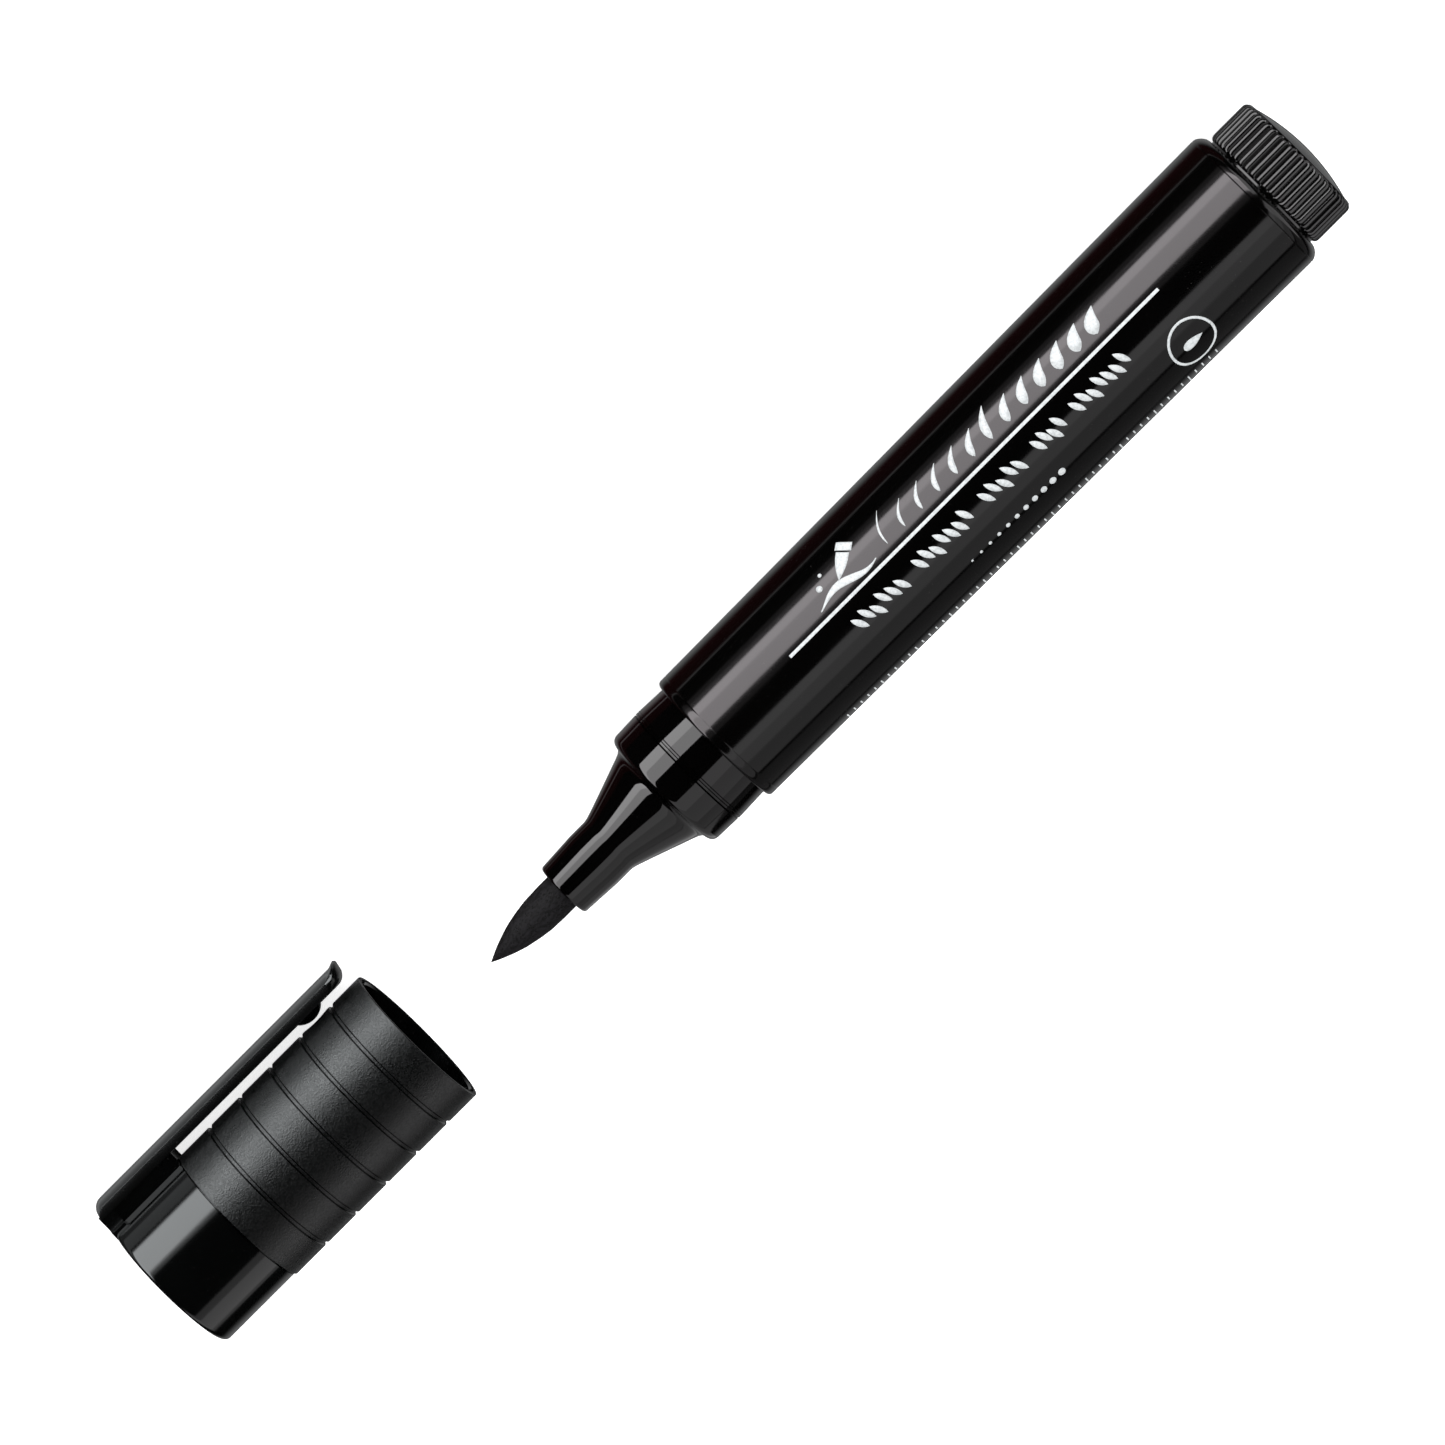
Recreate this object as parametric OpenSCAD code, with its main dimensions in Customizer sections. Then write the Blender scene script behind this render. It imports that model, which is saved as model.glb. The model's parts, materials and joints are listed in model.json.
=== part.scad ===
// Felt brush pen with a clip cap, lying on its side with the cap pulled straight off.
// The axis of pen and cap lies along X. The nib points to +X and +Z is up.
// Two working directions are used, both turned so that their +Z runs along the axis to the tail:
// the pen's starts at the nib's tip, and the cap's starts at the cap's closed end.

/* [Pen] */
// Length from the nib's tip to the rim of the tail plug
pen_l = 119.5; // [110:0.5:135]
// Diameter of the barrel at its front edge
barrel_front_d = 16.6; // [16:0.1:17.5]
// Gain in the barrel's diameter from its front edge to its rear edge
barrel_taper = 1.1; // [0.4:0.1:1.8]
// Wall of the barrel at its front edge
barrel_wall = 1.5; // [1.2:0.05:1.8]
// Rounding of the barrel's front edge
barrel_front_round = 0.5; // [0.2:0.05:0.7]
// Rounding of the barrel's rear shoulder
barrel_rear_round = 1.1; // [0.4:0.1:1.5]

/* [Nib] */
// Length of nib that stands out of the nose
nib_out = 10.7; // [9:0.1:12]
// Diameter of the nib's shaft
nib_d = 4.35; // [3.6:0.05:4.6]
// Length of the pointed stretch at each end of the nib
nib_point_l = 9; // [7:0.1:9]
// Fullness of the nib's point, where 1 is a plain cone
nib_fullness = 2.15; // [1.5:0.05:2.6]
// Overall length of the nib, which is pointed at both ends
nib_l = 47; // [44:0.5:50]

/* [Front section] */
// Wall of the nose round the nib, where the nose is parallel
nose_wall = 1.275; // [1.1:0.025:1.6]
// Fall in the nose's radius towards its face
nose_taper = 0.25; // [0.1:0.05:0.4]
// Length of the nose from its face to the start of the flare
nose_l = 5.8; // [5:0.1:8]
// Rounding of the nose's face
nose_round = 0.45; // [0.2:0.05:0.5]
// Length of the flare from the nose to the shoulder
flare_l = 8.9; // [7:0.1:10]
// Softness of the bend from the nose into the flare, where 0 is a sharp corner
flare_bend = 0.22; // [0.05:0.01:0.5]
// Length of the front band of the ring that the cap grips
ring_front_l = 3.8; // [3:0.1:6]
// Length of the rear band of the same ring
ring_rear_l = 3.9; // [3:0.1:5]
// Step in radius from the barrel's front edge down to the ring's bead
ring_step = 0.65; // [0.4:0.05:0.9]
// Fall in radius from the bead to either end of the ring
ring_fall = 0.14; // [0.05:0.01:0.2]
// Width and depth of the line between the ring's two bands
ring_line = 0.2; // [0.1:0.05:0.3]
// Width of the shoulder between the flare and the ring
shoulder_w = 1.3; // [1:0.1:2]
// Rounding of the ring's front shoulder
shoulder_round = 0.8; // [0.3:0.05:1]
// Length of the spigot that holds the front section in the barrel
front_spigot_l = 6; // [5:0.5:8]

/* [Tail plug] */
// Length of the plug's ribbed head
plug_l = 5.6; // [4:0.1:7]
// Step in radius from the barrel's rear edge down to the plug's ribs
plug_step = 1.1; // [0.7:0.1:1.6]
// Number of ribs round the plug
rib_n = 50; // [40:1:64]
// Depth of the hollows between the ribs
rib_depth = 0.3; // [0.15:0.05:0.4]
// Bevel at the ends of the ribs
plug_bevel = 0.5; // [0.2:0.05:0.5]
// Rise of the plug's domed end
plug_dome = 1.1; // [0.1:0.05:1.5]
// Length of the spigot that holds the plug in the barrel
plug_spigot_l = 8; // [6:0.5:10]

/* [Ink reservoir] */
// Thickness of the film round the fibre core
film_t = 0.15; // [0.1:0.05:0.3]
// Radial gap between the film and the barrel's bore
film_gap = 0.2; // [0.1:0.05:0.5]
// Free length between the core and each spigot
core_gap = 0.5; // [0.25:0.25:1.5]

/* [Cap] */
// Distance from the nib's tip to the cap's mouth, with the cap pulled off
cap_off = 10.9; // [5:0.1:40]
// Radial clearance of the cap's bore over the ring's bead
cap_clear = 0.075; // [0.02:0.005:0.1]
// Wall of the cap's body under the sleeve
cap_wall = 0.55; // [0.4:0.05:0.8]
// Thickness of the cap's closed end
cap_end_wall = 1.2; // [0.8:0.1:2]
// Room between the nib's tip and the closed end when the cap is on
tip_room = 2.9; // [1.8:0.1:5]
// Gap left between the cap's mouth and the barrel when the cap is on
seat_gap = 0.1; // [0.05:0.05:0.3]
// Length of the glossy stretch at the closed end
gloss_l = 10.3; // [8:0.1:13]
// Wall of the sleeve over the cap's body
sleeve_wall = 0.45; // [0.4:0.05:0.7]
// Step in radius from the sleeve down to the glossy stretch
gloss_step = 0.2; // [0.2:0.05:0.4]
// Rounding of the closed end's edge
end_round = 0.7; // [0.3:0.1:1]
// Lead-in chamfer at the mouth
mouth_chamfer = 0.25; // [0.1:0.05:0.4]
// Number of grooves round the sleeve
groove_n = 5; // [3:1:7]
// Width of each groove
groove_w = 0.4; // [0.2:0.05:0.6]
// Depth of each groove
groove_depth = 0.2; // [0.1:0.05:0.25]
// Length of the sleeve's band next to the mouth
first_band = 4.2; // [3.5:0.05:5]
// Length of the sleeve's band next to the glossy stretch
last_band = 4.55; // [3.5:0.05:5]

/* [Inner cap] */
// Radial clearance of the inner cap round the nose
liner_clear = 0.05; // [0.02:0.01:0.1]
// Wall of the inner cap
liner_wall = 0.8; // [0.5:0.1:1.2]
// Length of nose that the inner cap covers when the cap is on
liner_grip = 5.3; // [3:0.1:6]

/* [Clip] */
// Width of the clip
clip_w = 6.6; // [5:0.1:7.5]
// Thickness of the clip at its middle
clip_t = 1.95; // [1.5:0.05:2.4]
// Gap between the clip and the sleeve
clip_gap = 0.95; // [0.7:0.05:1.5]
// Height of the crown across the clip's back
clip_crown = 0.9; // [0.5:0.05:1.2]
// Distance of the clip's tip behind the plane of the mouth
clip_setback = 0.6; // [0.2:0.1:1.5]
// Rise of the lip at the clip's tip
lip_rise = 0.35; // [0.1:0.05:0.6]
// Length of the lip at the clip's tip
lip_l = 1.1; // [0.8:0.1:2]
// Rounding of the tip's inner corner and of the heel's outer corner
clip_round = 1.6; // [0.8:0.1:1.8]
// Inset of each side of the web that joins the clip to the cap's body
web_inset = 0.3; // [0.1:0.05:0.8]
// Length of the heel at the closed end
heel_l = 1.1; // [0.6:0.1:2]
// Spread of each side of the heel past the clip
heel_spread = 0.7; // [0.2:0.05:1]
// Radius of the round pip under the clip
pip_r = 2.35; // [2:0.05:3]
// Height of the pip below the clip
pip_h = 0.78; // [0.4:0.02:0.9]
// Depth of the hollow in the sleeve that faces the pip
dimple_depth = 0.3; // [0.1:0.05:0.35]

/* [Hidden] */
$fn = 96;
arc_steps = 8;
curve_steps = 14;
// Overshoot of a cutting shape past the face that it cuts
cut = 1;

// Places along the pen, counted from the nib's tip
nose_z = nib_out;
flare_z = nose_z + nose_l;
shoulder_z = flare_z + flare_l;
bead_z = shoulder_z + ring_front_l;
barrel_z = bead_z + ring_rear_l;
plug_z = pen_l - plug_l;
core_z0 = barrel_z + front_spigot_l + core_gap;
core_z1 = plug_z - plug_spigot_l - core_gap;

// Radii of the pen
barrel_rear_d = barrel_front_d + barrel_taper;
bore_r = barrel_front_d / 2 - barrel_wall;
bead_r = barrel_front_d / 2 - ring_step;
ring_r = bead_r - ring_fall;
plug_r = barrel_rear_d / 2 - plug_step;
film_r = bore_r - film_gap;
core_r = film_r - film_t;
nib_clear = 0.05;
nib_bore_r = nib_d / 2 + nib_clear;
nose_r = nib_bore_r + nose_wall;
flare_r = ring_r - shoulder_w;
ink_bore_r = nib_bore_r + nose_wall;

// Places along the cap, counted from its closed end
cap_l = barrel_z - seat_gap + tip_room + cap_end_wall;
sleeve_l = cap_l - gloss_l;
groove_pitch = (sleeve_l - first_band - last_band) / (groove_n - 1);
seated_tip_z = cap_l - barrel_z + seat_gap;
liner_z1 = seated_tip_z + nose_z + liner_grip;
cap_travel = cap_off + barrel_z - seat_gap;

// Radii of the cap
cap_bore_r = bead_r + cap_clear;
cap_core_r = cap_bore_r + cap_wall;
sleeve_r = cap_core_r + sleeve_wall;
gloss_r = sleeve_r - gloss_step;
liner_r = nose_r + liner_clear;

// The clip, from the cap's axis outwards
clip_r0 = sleeve_r + clip_gap;
clip_r1 = clip_r0 + clip_t;
clip_z1 = cap_l - clip_setback;
corner_r = clip_r1 - clip_crown;
web_w = clip_w - 2 * web_inset;
heel_w = clip_w + 2 * heel_spread;
crown_r = (pow(clip_w / 2, 2) + pow(clip_crown, 2)) / (2 * clip_crown);
lip_crown = clip_crown + lip_rise;
lip_crown_r = (pow(clip_w / 2, 2) + pow(lip_crown, 2)) / (2 * lip_crown);
pip_z = cap_l - first_band - groove_pitch / 2;
pip_centre_r = clip_r0 - pip_h + pip_r;

// The pen lies on the barrel's rear edge and on the clip's lower corner, which sets its roll
axis_h = barrel_rear_d / 2;
corner_reach = norm([corner_r, clip_w / 2]);
clip_below = asin(min(1, axis_h / corner_reach)) - atan2(clip_w / 2, corner_r);
clip_turn = 270 - clip_below;

// The origin is under the middle of the outline
total_l = pen_l + plug_dome + cap_off + cap_l;
cap_x = total_l / 2;
tip_x = cap_x - cap_l - cap_off;
side_reach = corner_r * cos(clip_below) + clip_w / 2 * sin(clip_below);
axis_y = (side_reach - barrel_rear_d / 2) / 2;

// Points along an arc round c, as [radius from the axis, place along the axis]
function arc(c, r, a0, a1) =
    [for (i = [0 : arc_steps]) let (a = a0 + (a1 - a0) * i / arc_steps) c + r * [cos(a), sin(a)]];

// Share of the flare's rise that is reached at the share x of its length
function flare_share(x) = (norm([x, flare_bend]) - flare_bend) / (norm([1, flare_bend]) - flare_bend);

// Radius of the nib at z from a pointed end
function nib_radius(z) = nib_d / 2 * (1 - pow(1 - min(z, nib_point_l) / nib_point_l, nib_fullness));

module on_pen() {
    translate([tip_x, axis_y, axis_h]) rotate([0, -90, 0]) children();
}

module on_cap() {
    translate([cap_x, axis_y, axis_h]) rotate([0, -90, 0]) children();
}

// The clip is drawn with its radial direction along +X, then turned to its place on the cap
module on_clip() {
    on_cap() rotate([0, 0, clip_turn]) children();
}

module ring_solid(r0, r1, z0, z1) {
    rotate_extrude() polygon([[r0, z0], [r1, z0], [r1, z1], [r0, z1]]);
}

// Black barrel tube, thinner at the front, with a straight bore
module barrel() {
    f = barrel_front_round;
    b = barrel_rear_round;
    taper = (barrel_rear_d - barrel_front_d) / 2;
    color("#101012") on_pen() rotate_extrude() polygon(concat(
        [[bore_r, barrel_z]],
        arc([barrel_front_d / 2 - f, barrel_z + f], f, -90, 0),
        arc([barrel_front_d / 2 + taper - b, plug_z - b], b, 0, 90),
        [[bore_r, plug_z]]));
}

// Outline of the front section outside the barrel, from its nose face to the barrel
function front_outline() =
    let (f = nose_round, s = shoulder_round, half_line = ring_line / 2)
    concat(
        arc([nose_r - nose_taper - f, nose_z + f], f, -90, 0),
        [[nose_r, nose_z + nose_l * 0.7]],
        [for (i = [0 : curve_steps])
            let (x = i / curve_steps)
                [nose_r + (flare_r - nose_r) * flare_share(x), flare_z + flare_l * x]],
        arc([ring_r - s, shoulder_z + s], s, -90, 0),
        [[bead_r, bead_z - half_line], [bead_r - ring_line, bead_z], [bead_r - half_line, bead_z + half_line],
         [ring_r, barrel_z]]);

// Glossy moulding in one piece: nose, flare, cap ring and the spigot in the barrel
module front_section() {
    color("#0c0c0e") on_pen() difference() {
        union() {
            rotate_extrude() polygon(concat([[0, nose_z]], front_outline(), [[0, barrel_z]]));
            translate([0, 0, barrel_z - cut]) cylinder(r = bore_r, h = front_spigot_l + cut);
        }
        translate([0, 0, nose_z - cut]) cylinder(r = nib_bore_r, h = barrel_z);
        translate([0, 0, shoulder_z]) cylinder(r = ink_bore_r, h = barrel_z);
    }
}

// Felt nib, pointed at both ends so that it can be turned round
module nib() {
    half = [for (i = [0 : curve_steps]) let (z = nib_point_l * pow(i / curve_steps, 1.5)) [nib_radius(z), z]];
    back = [for (i = [curve_steps : -1 : 0]) [half[i][0], nib_l - half[i][1]]];
    color("#242426") on_pen() rotate_extrude() polygon(concat(half, back));
}

// Fibre core that holds the ink, with a socket for the nib's rear point
module ink_core() {
    color("#2a2a30") on_pen() difference() {
        translate([0, 0, core_z0]) cylinder(r = core_r, h = core_z1 - core_z0);
        translate([0, 0, core_z0 - cut]) cylinder(r = nib_bore_r, h = nib_l - core_z0 + 2 * cut);
    }
}

// Thin film wrapped round the core
module core_film() {
    color("#c8ccd0") on_pen() ring_solid(core_r, film_r, core_z0, core_z1);
}

// Outline of the ribbed head: one rounded rib and one hollow after the other
function rib_outline() = [
    for (i = [0 : rib_n - 1], k = [0 : 3])
        let (a = 360 / rib_n * (i + [0, 0.28, 0.5, 0.78][k]), r = k < 2 ? plug_r : plug_r - rib_depth)
            [r * cos(a), r * sin(a)]];

// Ribbed plug that closes the barrel's rear, with a plain foot and a domed end inside the ribs
module tail_plug() {
    foot_r = plug_r - rib_depth - plug_bevel / 2;
    dome_r = (pow(foot_r, 2) + pow(plug_dome, 2)) / (2 * plug_dome);
    color("#161618") on_pen() difference() {
        union() {
            translate([0, 0, plug_z + plug_bevel])
                linear_extrude(height = plug_l - 2 * plug_bevel) polygon(rib_outline());
            translate([0, 0, plug_z]) cylinder(r = foot_r, h = plug_bevel);
            rotate_extrude() polygon(concat(
                [[0, pen_l - plug_bevel], [foot_r, pen_l - plug_bevel]],
                arc([0, pen_l + plug_dome - dome_r], dome_r, acos(foot_r / dome_r), 90)));
            translate([0, 0, plug_z - plug_spigot_l]) cylinder(r = bore_r, h = plug_spigot_l);
        }
        translate([0, 0, plug_z - plug_spigot_l - cut]) cylinder(r = bore_r - barrel_wall, h = plug_spigot_l);
    }
}

// The clip's cross-section, crowned on its back, swept along the cap from z0 to z1
module crowned_strip(z0, z1, crown, radius) {
    translate([0, 0, z0]) linear_extrude(height = z1 - z0) intersection() {
        translate([clip_r0, -clip_w / 2]) square([clip_t + lip_rise, clip_w]);
        translate([clip_r1 + crown - clip_crown - radius, 0]) circle(r = radius);
    }
}

// Extrudes an outline of [radius, place along the cap] across a width centred on the clip
module across_clip(w) {
    translate([0, w / 2, 0]) rotate([90, 0, 0]) linear_extrude(height = w) children();
}

// Cap body: glossy closed end, thin wall under the sleeve, and the clip's root on a web
module cap_body() {
    e = end_round;
    c = mouth_chamfer;
    color("#121414") difference() {
        union() {
            on_cap() rotate_extrude() polygon(concat(
                [[0, 0]],
                arc([gloss_r - e, e], e, -90, 0),
                [[gloss_r, gloss_l], [cap_core_r, gloss_l], [cap_core_r, cap_l], [0, cap_l]]));
            on_clip() clip_root();
        }
        on_cap() translate([0, 0, cap_end_wall]) cylinder(r = cap_bore_r, h = cap_l);
        on_cap() rotate_extrude() polygon([
            [0, cap_l - c], [cap_bore_r, cap_l - c], [cap_bore_r + c, cap_l], [cap_bore_r + c, cap_l + c],
            [0, cap_l + c]]);
    }
}

// The part of the clip that never flexes, with its web and its heel. Its pieces start inside the
// cap's wall and run past both ends, and one outline trims them all.
module clip_root() {
    h = clip_round;
    inside_r = cap_bore_r * 0.8;
    intersection() {
        union() {
            crowned_strip(-cut, gloss_l + cut, clip_crown, crown_r);
            translate([inside_r, -web_w / 2, -cut])
                cube([clip_r0 - inside_r + clip_t / 4, web_w, gloss_l + 2 * cut]);
            translate([inside_r, -clip_w / 2, -cut])
                cube([clip_r0 - inside_r + clip_t / 5, clip_w, heel_l + cut]);
            intersection() {
                translate([inside_r, -heel_w / 2, -cut]) cube([clip_r0, heel_w, heel_l + cut]);
                translate([0, 0, -cut]) cylinder(r = gloss_r + clip_gap * 0.8, h = heel_l + 2 * cut);
            }
        }
        across_clip(heel_w + cut) polygon(concat(
            [[0, 0]],
            arc([clip_r1 - h, h], h, -90, 0),
            [[clip_r1, gloss_l], [0, gloss_l]]));
    }
}

// Satin sleeve with grooves, pressed over the cap's body, and hollowed under the clip's pip
module cap_sleeve() {
    c = groove_depth / 2;
    color("#2c2f30") difference() {
        on_cap() rotate_extrude() polygon([
            [cap_core_r, gloss_l], [sleeve_r - c, gloss_l], [sleeve_r, gloss_l + c],
            [sleeve_r, cap_l - c], [sleeve_r - c, cap_l], [cap_core_r, cap_l]]);
        for (i = [0 : groove_n - 1])
            on_cap() ring_solid(sleeve_r - groove_depth, sleeve_r + cut,
                cap_l - first_band - i * groove_pitch - groove_w / 2,
                cap_l - first_band - i * groove_pitch + groove_w / 2);
        on_clip() translate([pip_centre_r, 0, pip_z]) sphere(r = pip_centre_r - sleeve_r + dimple_depth);
    }
}

// Soft liner that seals round the nose when the cap is on
module inner_cap() {
    color("#3a3c40") on_cap() difference() {
        translate([0, 0, cap_end_wall]) cylinder(r = liner_r + liner_wall, h = liner_z1 - cap_end_wall);
        translate([0, 0, cap_end_wall + liner_wall]) cylinder(r = liner_r, h = liner_z1);
    }
}

// The free length of the clip, with the lip at its tip and the pip under it. Its tip is rounded in
// plan by the same radius as the crown across its back.
module clip_arm() {
    h = clip_round;
    z1 = clip_z1;
    color("#1c1e1f") on_clip() union() {
        intersection() {
            union() {
                crowned_strip(gloss_l, z1, clip_crown, crown_r);
                crowned_strip(z1 - lip_l, z1, lip_crown, lip_crown_r);
            }
            across_clip(clip_w + cut) polygon(concat(
                [[clip_r0, gloss_l]],
                arc([clip_r0 + h, z1 - h], h, 180, 90),
                [[clip_r1 + lip_rise, z1], [clip_r1 + lip_rise, z1 - lip_l / 4], [clip_r1, z1 - lip_l],
                 [clip_r1, gloss_l]]));
            union() {
                translate([clip_r0 - cut, 0, z1 - crown_r])
                    rotate([0, 90, 0]) cylinder(r = crown_r, h = clip_t + 3 * cut);
                translate([clip_r0 - cut, -clip_w, gloss_l - cut])
                    cube([clip_t + 3 * cut, 2 * clip_w, z1 - crown_r - gloss_l + cut]);
            }
        }
        intersection() {
            translate([pip_centre_r, 0, pip_z]) sphere(r = pip_r);
            translate([clip_r0 - pip_h - cut, -pip_r, pip_z - pip_r])
                cube([pip_h + cut + clip_t / 4, 2 * pip_r, 2 * pip_r]);
        }
    }
}

barrel();
front_section();
nib();
ink_core();
core_film();
tail_plug();
cap_body();
cap_sleeve();
inner_cap();
clip_arm();
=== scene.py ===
# %% [markdown]
# A felt brush pen lies on its side, with its cap pulled off and laid in line with it. The pen is
# a stack of turned parts in polished black plastic: a tapered barrel, a front section that the
# cap grips, a bullet-shaped felt nib and a ribbed plug in the tail. The cap wears a satin sleeve
# with fine grooves, and a long clip stands on a web at its closed end.
#
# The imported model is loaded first. It fixes every place and size, so nothing has to be fitted by
# eye, and each piece made here takes the place of the plain solid of the same shape.

import json
from math import atan2, cos, degrees, hypot, pi, radians, sin, sqrt, tan, tau

import bmesh
import bpy
from mathutils import Matrix, Vector


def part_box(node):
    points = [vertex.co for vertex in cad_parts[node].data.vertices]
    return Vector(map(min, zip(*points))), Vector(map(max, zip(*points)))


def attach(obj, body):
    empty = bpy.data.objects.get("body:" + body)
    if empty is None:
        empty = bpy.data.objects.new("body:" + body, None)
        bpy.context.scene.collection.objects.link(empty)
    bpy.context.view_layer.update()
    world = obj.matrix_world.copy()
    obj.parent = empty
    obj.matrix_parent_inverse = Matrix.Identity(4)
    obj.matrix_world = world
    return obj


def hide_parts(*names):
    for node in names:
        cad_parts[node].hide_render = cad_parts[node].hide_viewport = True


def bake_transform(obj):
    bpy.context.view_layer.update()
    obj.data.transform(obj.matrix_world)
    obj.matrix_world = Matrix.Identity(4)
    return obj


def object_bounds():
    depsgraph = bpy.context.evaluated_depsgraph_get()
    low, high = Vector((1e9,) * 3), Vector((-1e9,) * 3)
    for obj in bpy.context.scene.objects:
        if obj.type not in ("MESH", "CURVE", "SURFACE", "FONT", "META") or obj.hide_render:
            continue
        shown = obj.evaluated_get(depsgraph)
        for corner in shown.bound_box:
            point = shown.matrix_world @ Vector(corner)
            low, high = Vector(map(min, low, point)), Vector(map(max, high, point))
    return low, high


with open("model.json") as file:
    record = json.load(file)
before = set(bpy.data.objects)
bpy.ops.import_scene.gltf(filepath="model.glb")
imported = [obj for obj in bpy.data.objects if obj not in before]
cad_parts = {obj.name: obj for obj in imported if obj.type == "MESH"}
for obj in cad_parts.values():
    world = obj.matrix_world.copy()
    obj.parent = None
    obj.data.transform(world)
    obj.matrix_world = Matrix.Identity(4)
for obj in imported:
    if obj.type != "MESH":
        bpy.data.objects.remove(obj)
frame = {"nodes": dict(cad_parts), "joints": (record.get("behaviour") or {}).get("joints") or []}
cad_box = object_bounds()
print("CAD box:", [round(side, 5) for corner in cad_box for side in corner])

# %% [markdown]
# Turned parts are easiest to think of on a bench: millimetres along the part's own axis, and
# millimetres out from it. A matrix then carries each finished shape from its bench to its place.
# Three benches are enough. The pen's starts at the nib's tip and runs to the tail, the cap's
# starts at the mouth and runs to the closed end, and the clip's is the cap's bench turned so that
# Z points straight out through the clip.

# %% Benches
MM = 0.001
low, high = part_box("barrel")
axis_y = (low.y + high.y) / 2
axis_z = (low.z + high.z) / 2
tip_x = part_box("nib")[1].x
mouth_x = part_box("cap_sleeve")[0].x

joints = {joint["name"]: joint for joint in frame["joints"]}
hinge = Vector(joints["clip_flex"]["pos_m"])
outward = Vector((0, hinge.y - axis_y, hinge.z - axis_z)).normalized()
clip_turn = atan2(-outward.y, outward.z)

ON_PEN = Matrix.Translation((tip_x, axis_y, axis_z)) @ Matrix.Rotation(pi, 4, "Z") @ Matrix.Scale(MM, 4)
ON_CAP = Matrix.Translation((mouth_x, axis_y, axis_z)) @ Matrix.Scale(MM, 4)
ON_CLIP = ON_CAP @ Matrix.Rotation(clip_turn, 4, "X")


def pen_place(x):
    """A place along X in the frame, as millimetres behind the nib's tip."""
    return (tip_x - x) / MM


def cap_place(x):
    """A place along X in the frame, as millimetres behind the cap's mouth."""
    return (x - mouth_x) / MM


def outer_radius(node):
    """Half the width of a turned node across Y, in millimetres."""
    node_low, node_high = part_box(node)
    return (node_high.y - node_low.y) / 2 / MM


barrel_front = pen_place(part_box("barrel")[1].x)
barrel_rear = pen_place(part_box("barrel")[0].x)
nose_face = pen_place(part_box("front_section")[1].x)
plug_end = pen_place(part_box("tail_plug")[0].x)
sleeve_end = cap_place(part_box("cap_sleeve")[1].x)
cap_end = cap_place(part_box("cap_body")[1].x)
clip_tip = cap_place(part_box("clip_arm")[0].x)
print(f"barrel {barrel_front:.2f} to {barrel_rear:.2f} mm, nose at {nose_face:.2f}")
print(f"plug ends at {plug_end:.2f} mm")
print(f"sleeve ends at {sleeve_end:.2f} mm, cap at {cap_end:.2f}, clip's tip at {clip_tip:.2f}")
print(f"the clip is turned {degrees(clip_turn):.1f} degrees round the cap")

# %% [markdown]
# A lathe is the one tool most of these parts need. In mesh terms it is a spin: a few points draw
# half of the outline, and the spin sweeps them round the axis. Points that lie on the axis land
# on top of each other, so doubles are merged before the normals are made to face outwards.
#
# Moulded edges are never sharp. A bevel on one ring of edges gives each its own small radius,
# and that radius is what catches a thin line of light on the real pen.

# %% Lathe and edge rounding
SIDES = 192
TOUCH = 1e-4


def lathe(outline, sides=SIDES):
    """Spins an outline of (place, radius) points round the X axis and returns the bmesh."""
    shape = bmesh.new()
    points = [shape.verts.new((place, 0, radius)) for place, radius in outline]
    ends_on_axis = outline[0][1] == 0 and outline[-1][1] == 0
    ring = points if ends_on_axis else points + points[:1]
    for first, second in zip(ring, ring[1:]):
        shape.edges.new((first, second))
    bmesh.ops.spin(
        shape, geom=shape.verts[:] + shape.edges[:], cent=(0, 0, 0), axis=(1, 0, 0),
        angle=tau, steps=sides, use_merge=True,
    )
    bmesh.ops.remove_doubles(shape, verts=shape.verts, dist=TOUCH)
    bmesh.ops.recalc_face_normals(shape, faces=shape.faces)
    return shape


def soften(shape, place, radius, width, segments=4, profile=0.5):
    """Rounds the ring of edges that lies at one place and radius."""
    def on_ring(vert):
        return abs(vert.co.x - place) < TOUCH and abs(hypot(vert.co.y, vert.co.z) - radius) < TOUCH

    ring = [edge for edge in shape.edges if all(on_ring(vert) for vert in edge.verts)]
    bmesh.ops.bevel(
        shape, geom=ring, offset=width, offset_type="OFFSET", segments=segments, profile=profile,
        affect="EDGES", material=-1,
    )


# %% [markdown]
# Every finished piece goes through the same last steps: its bench carries it to its place, it is
# shaded smooth with real corners kept sharp, it rides on its body, and it stands for the plain
# solids of the frame. Weighted normals keep the long flat stretches even up to each small bevel.

# %% Finishing a piece
CORNER = radians(38)


def show(name, data):
    """Puts an object with this data in the scene."""
    item = bpy.data.objects.new(name, data)
    bpy.context.scene.collection.objects.link(item)
    return item


def show_shape(name, shape, bench=None):
    """Carries a bmesh from its bench, if it has one, and shows it as an object."""
    if bench:
        bmesh.ops.transform(shape, matrix=bench, verts=shape.verts)
    mesh = bpy.data.meshes.new(name)
    shape.to_mesh(mesh)
    shape.free()
    return show(name, mesh)


def shade(mesh):
    """Smooth shading, with the real corners kept sharp."""
    mesh.shade_smooth()
    mesh.set_sharp_from_angle(angle=CORNER)


def put_in_place(name, shape, bench, body, stands_for=()):
    """Turns a bench shape into a finished piece of the pen."""
    piece = show_shape(name, shape, bench)
    shade(piece.data)
    even = piece.modifiers.new("even shading", "WEIGHTED_NORMAL")
    even.keep_sharp = True
    if body:
        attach(piece, body)
    if stands_for:
        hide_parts(*stands_for)
    print(f"{name}: {len(piece.data.polygons)} faces")
    return piece


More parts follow.
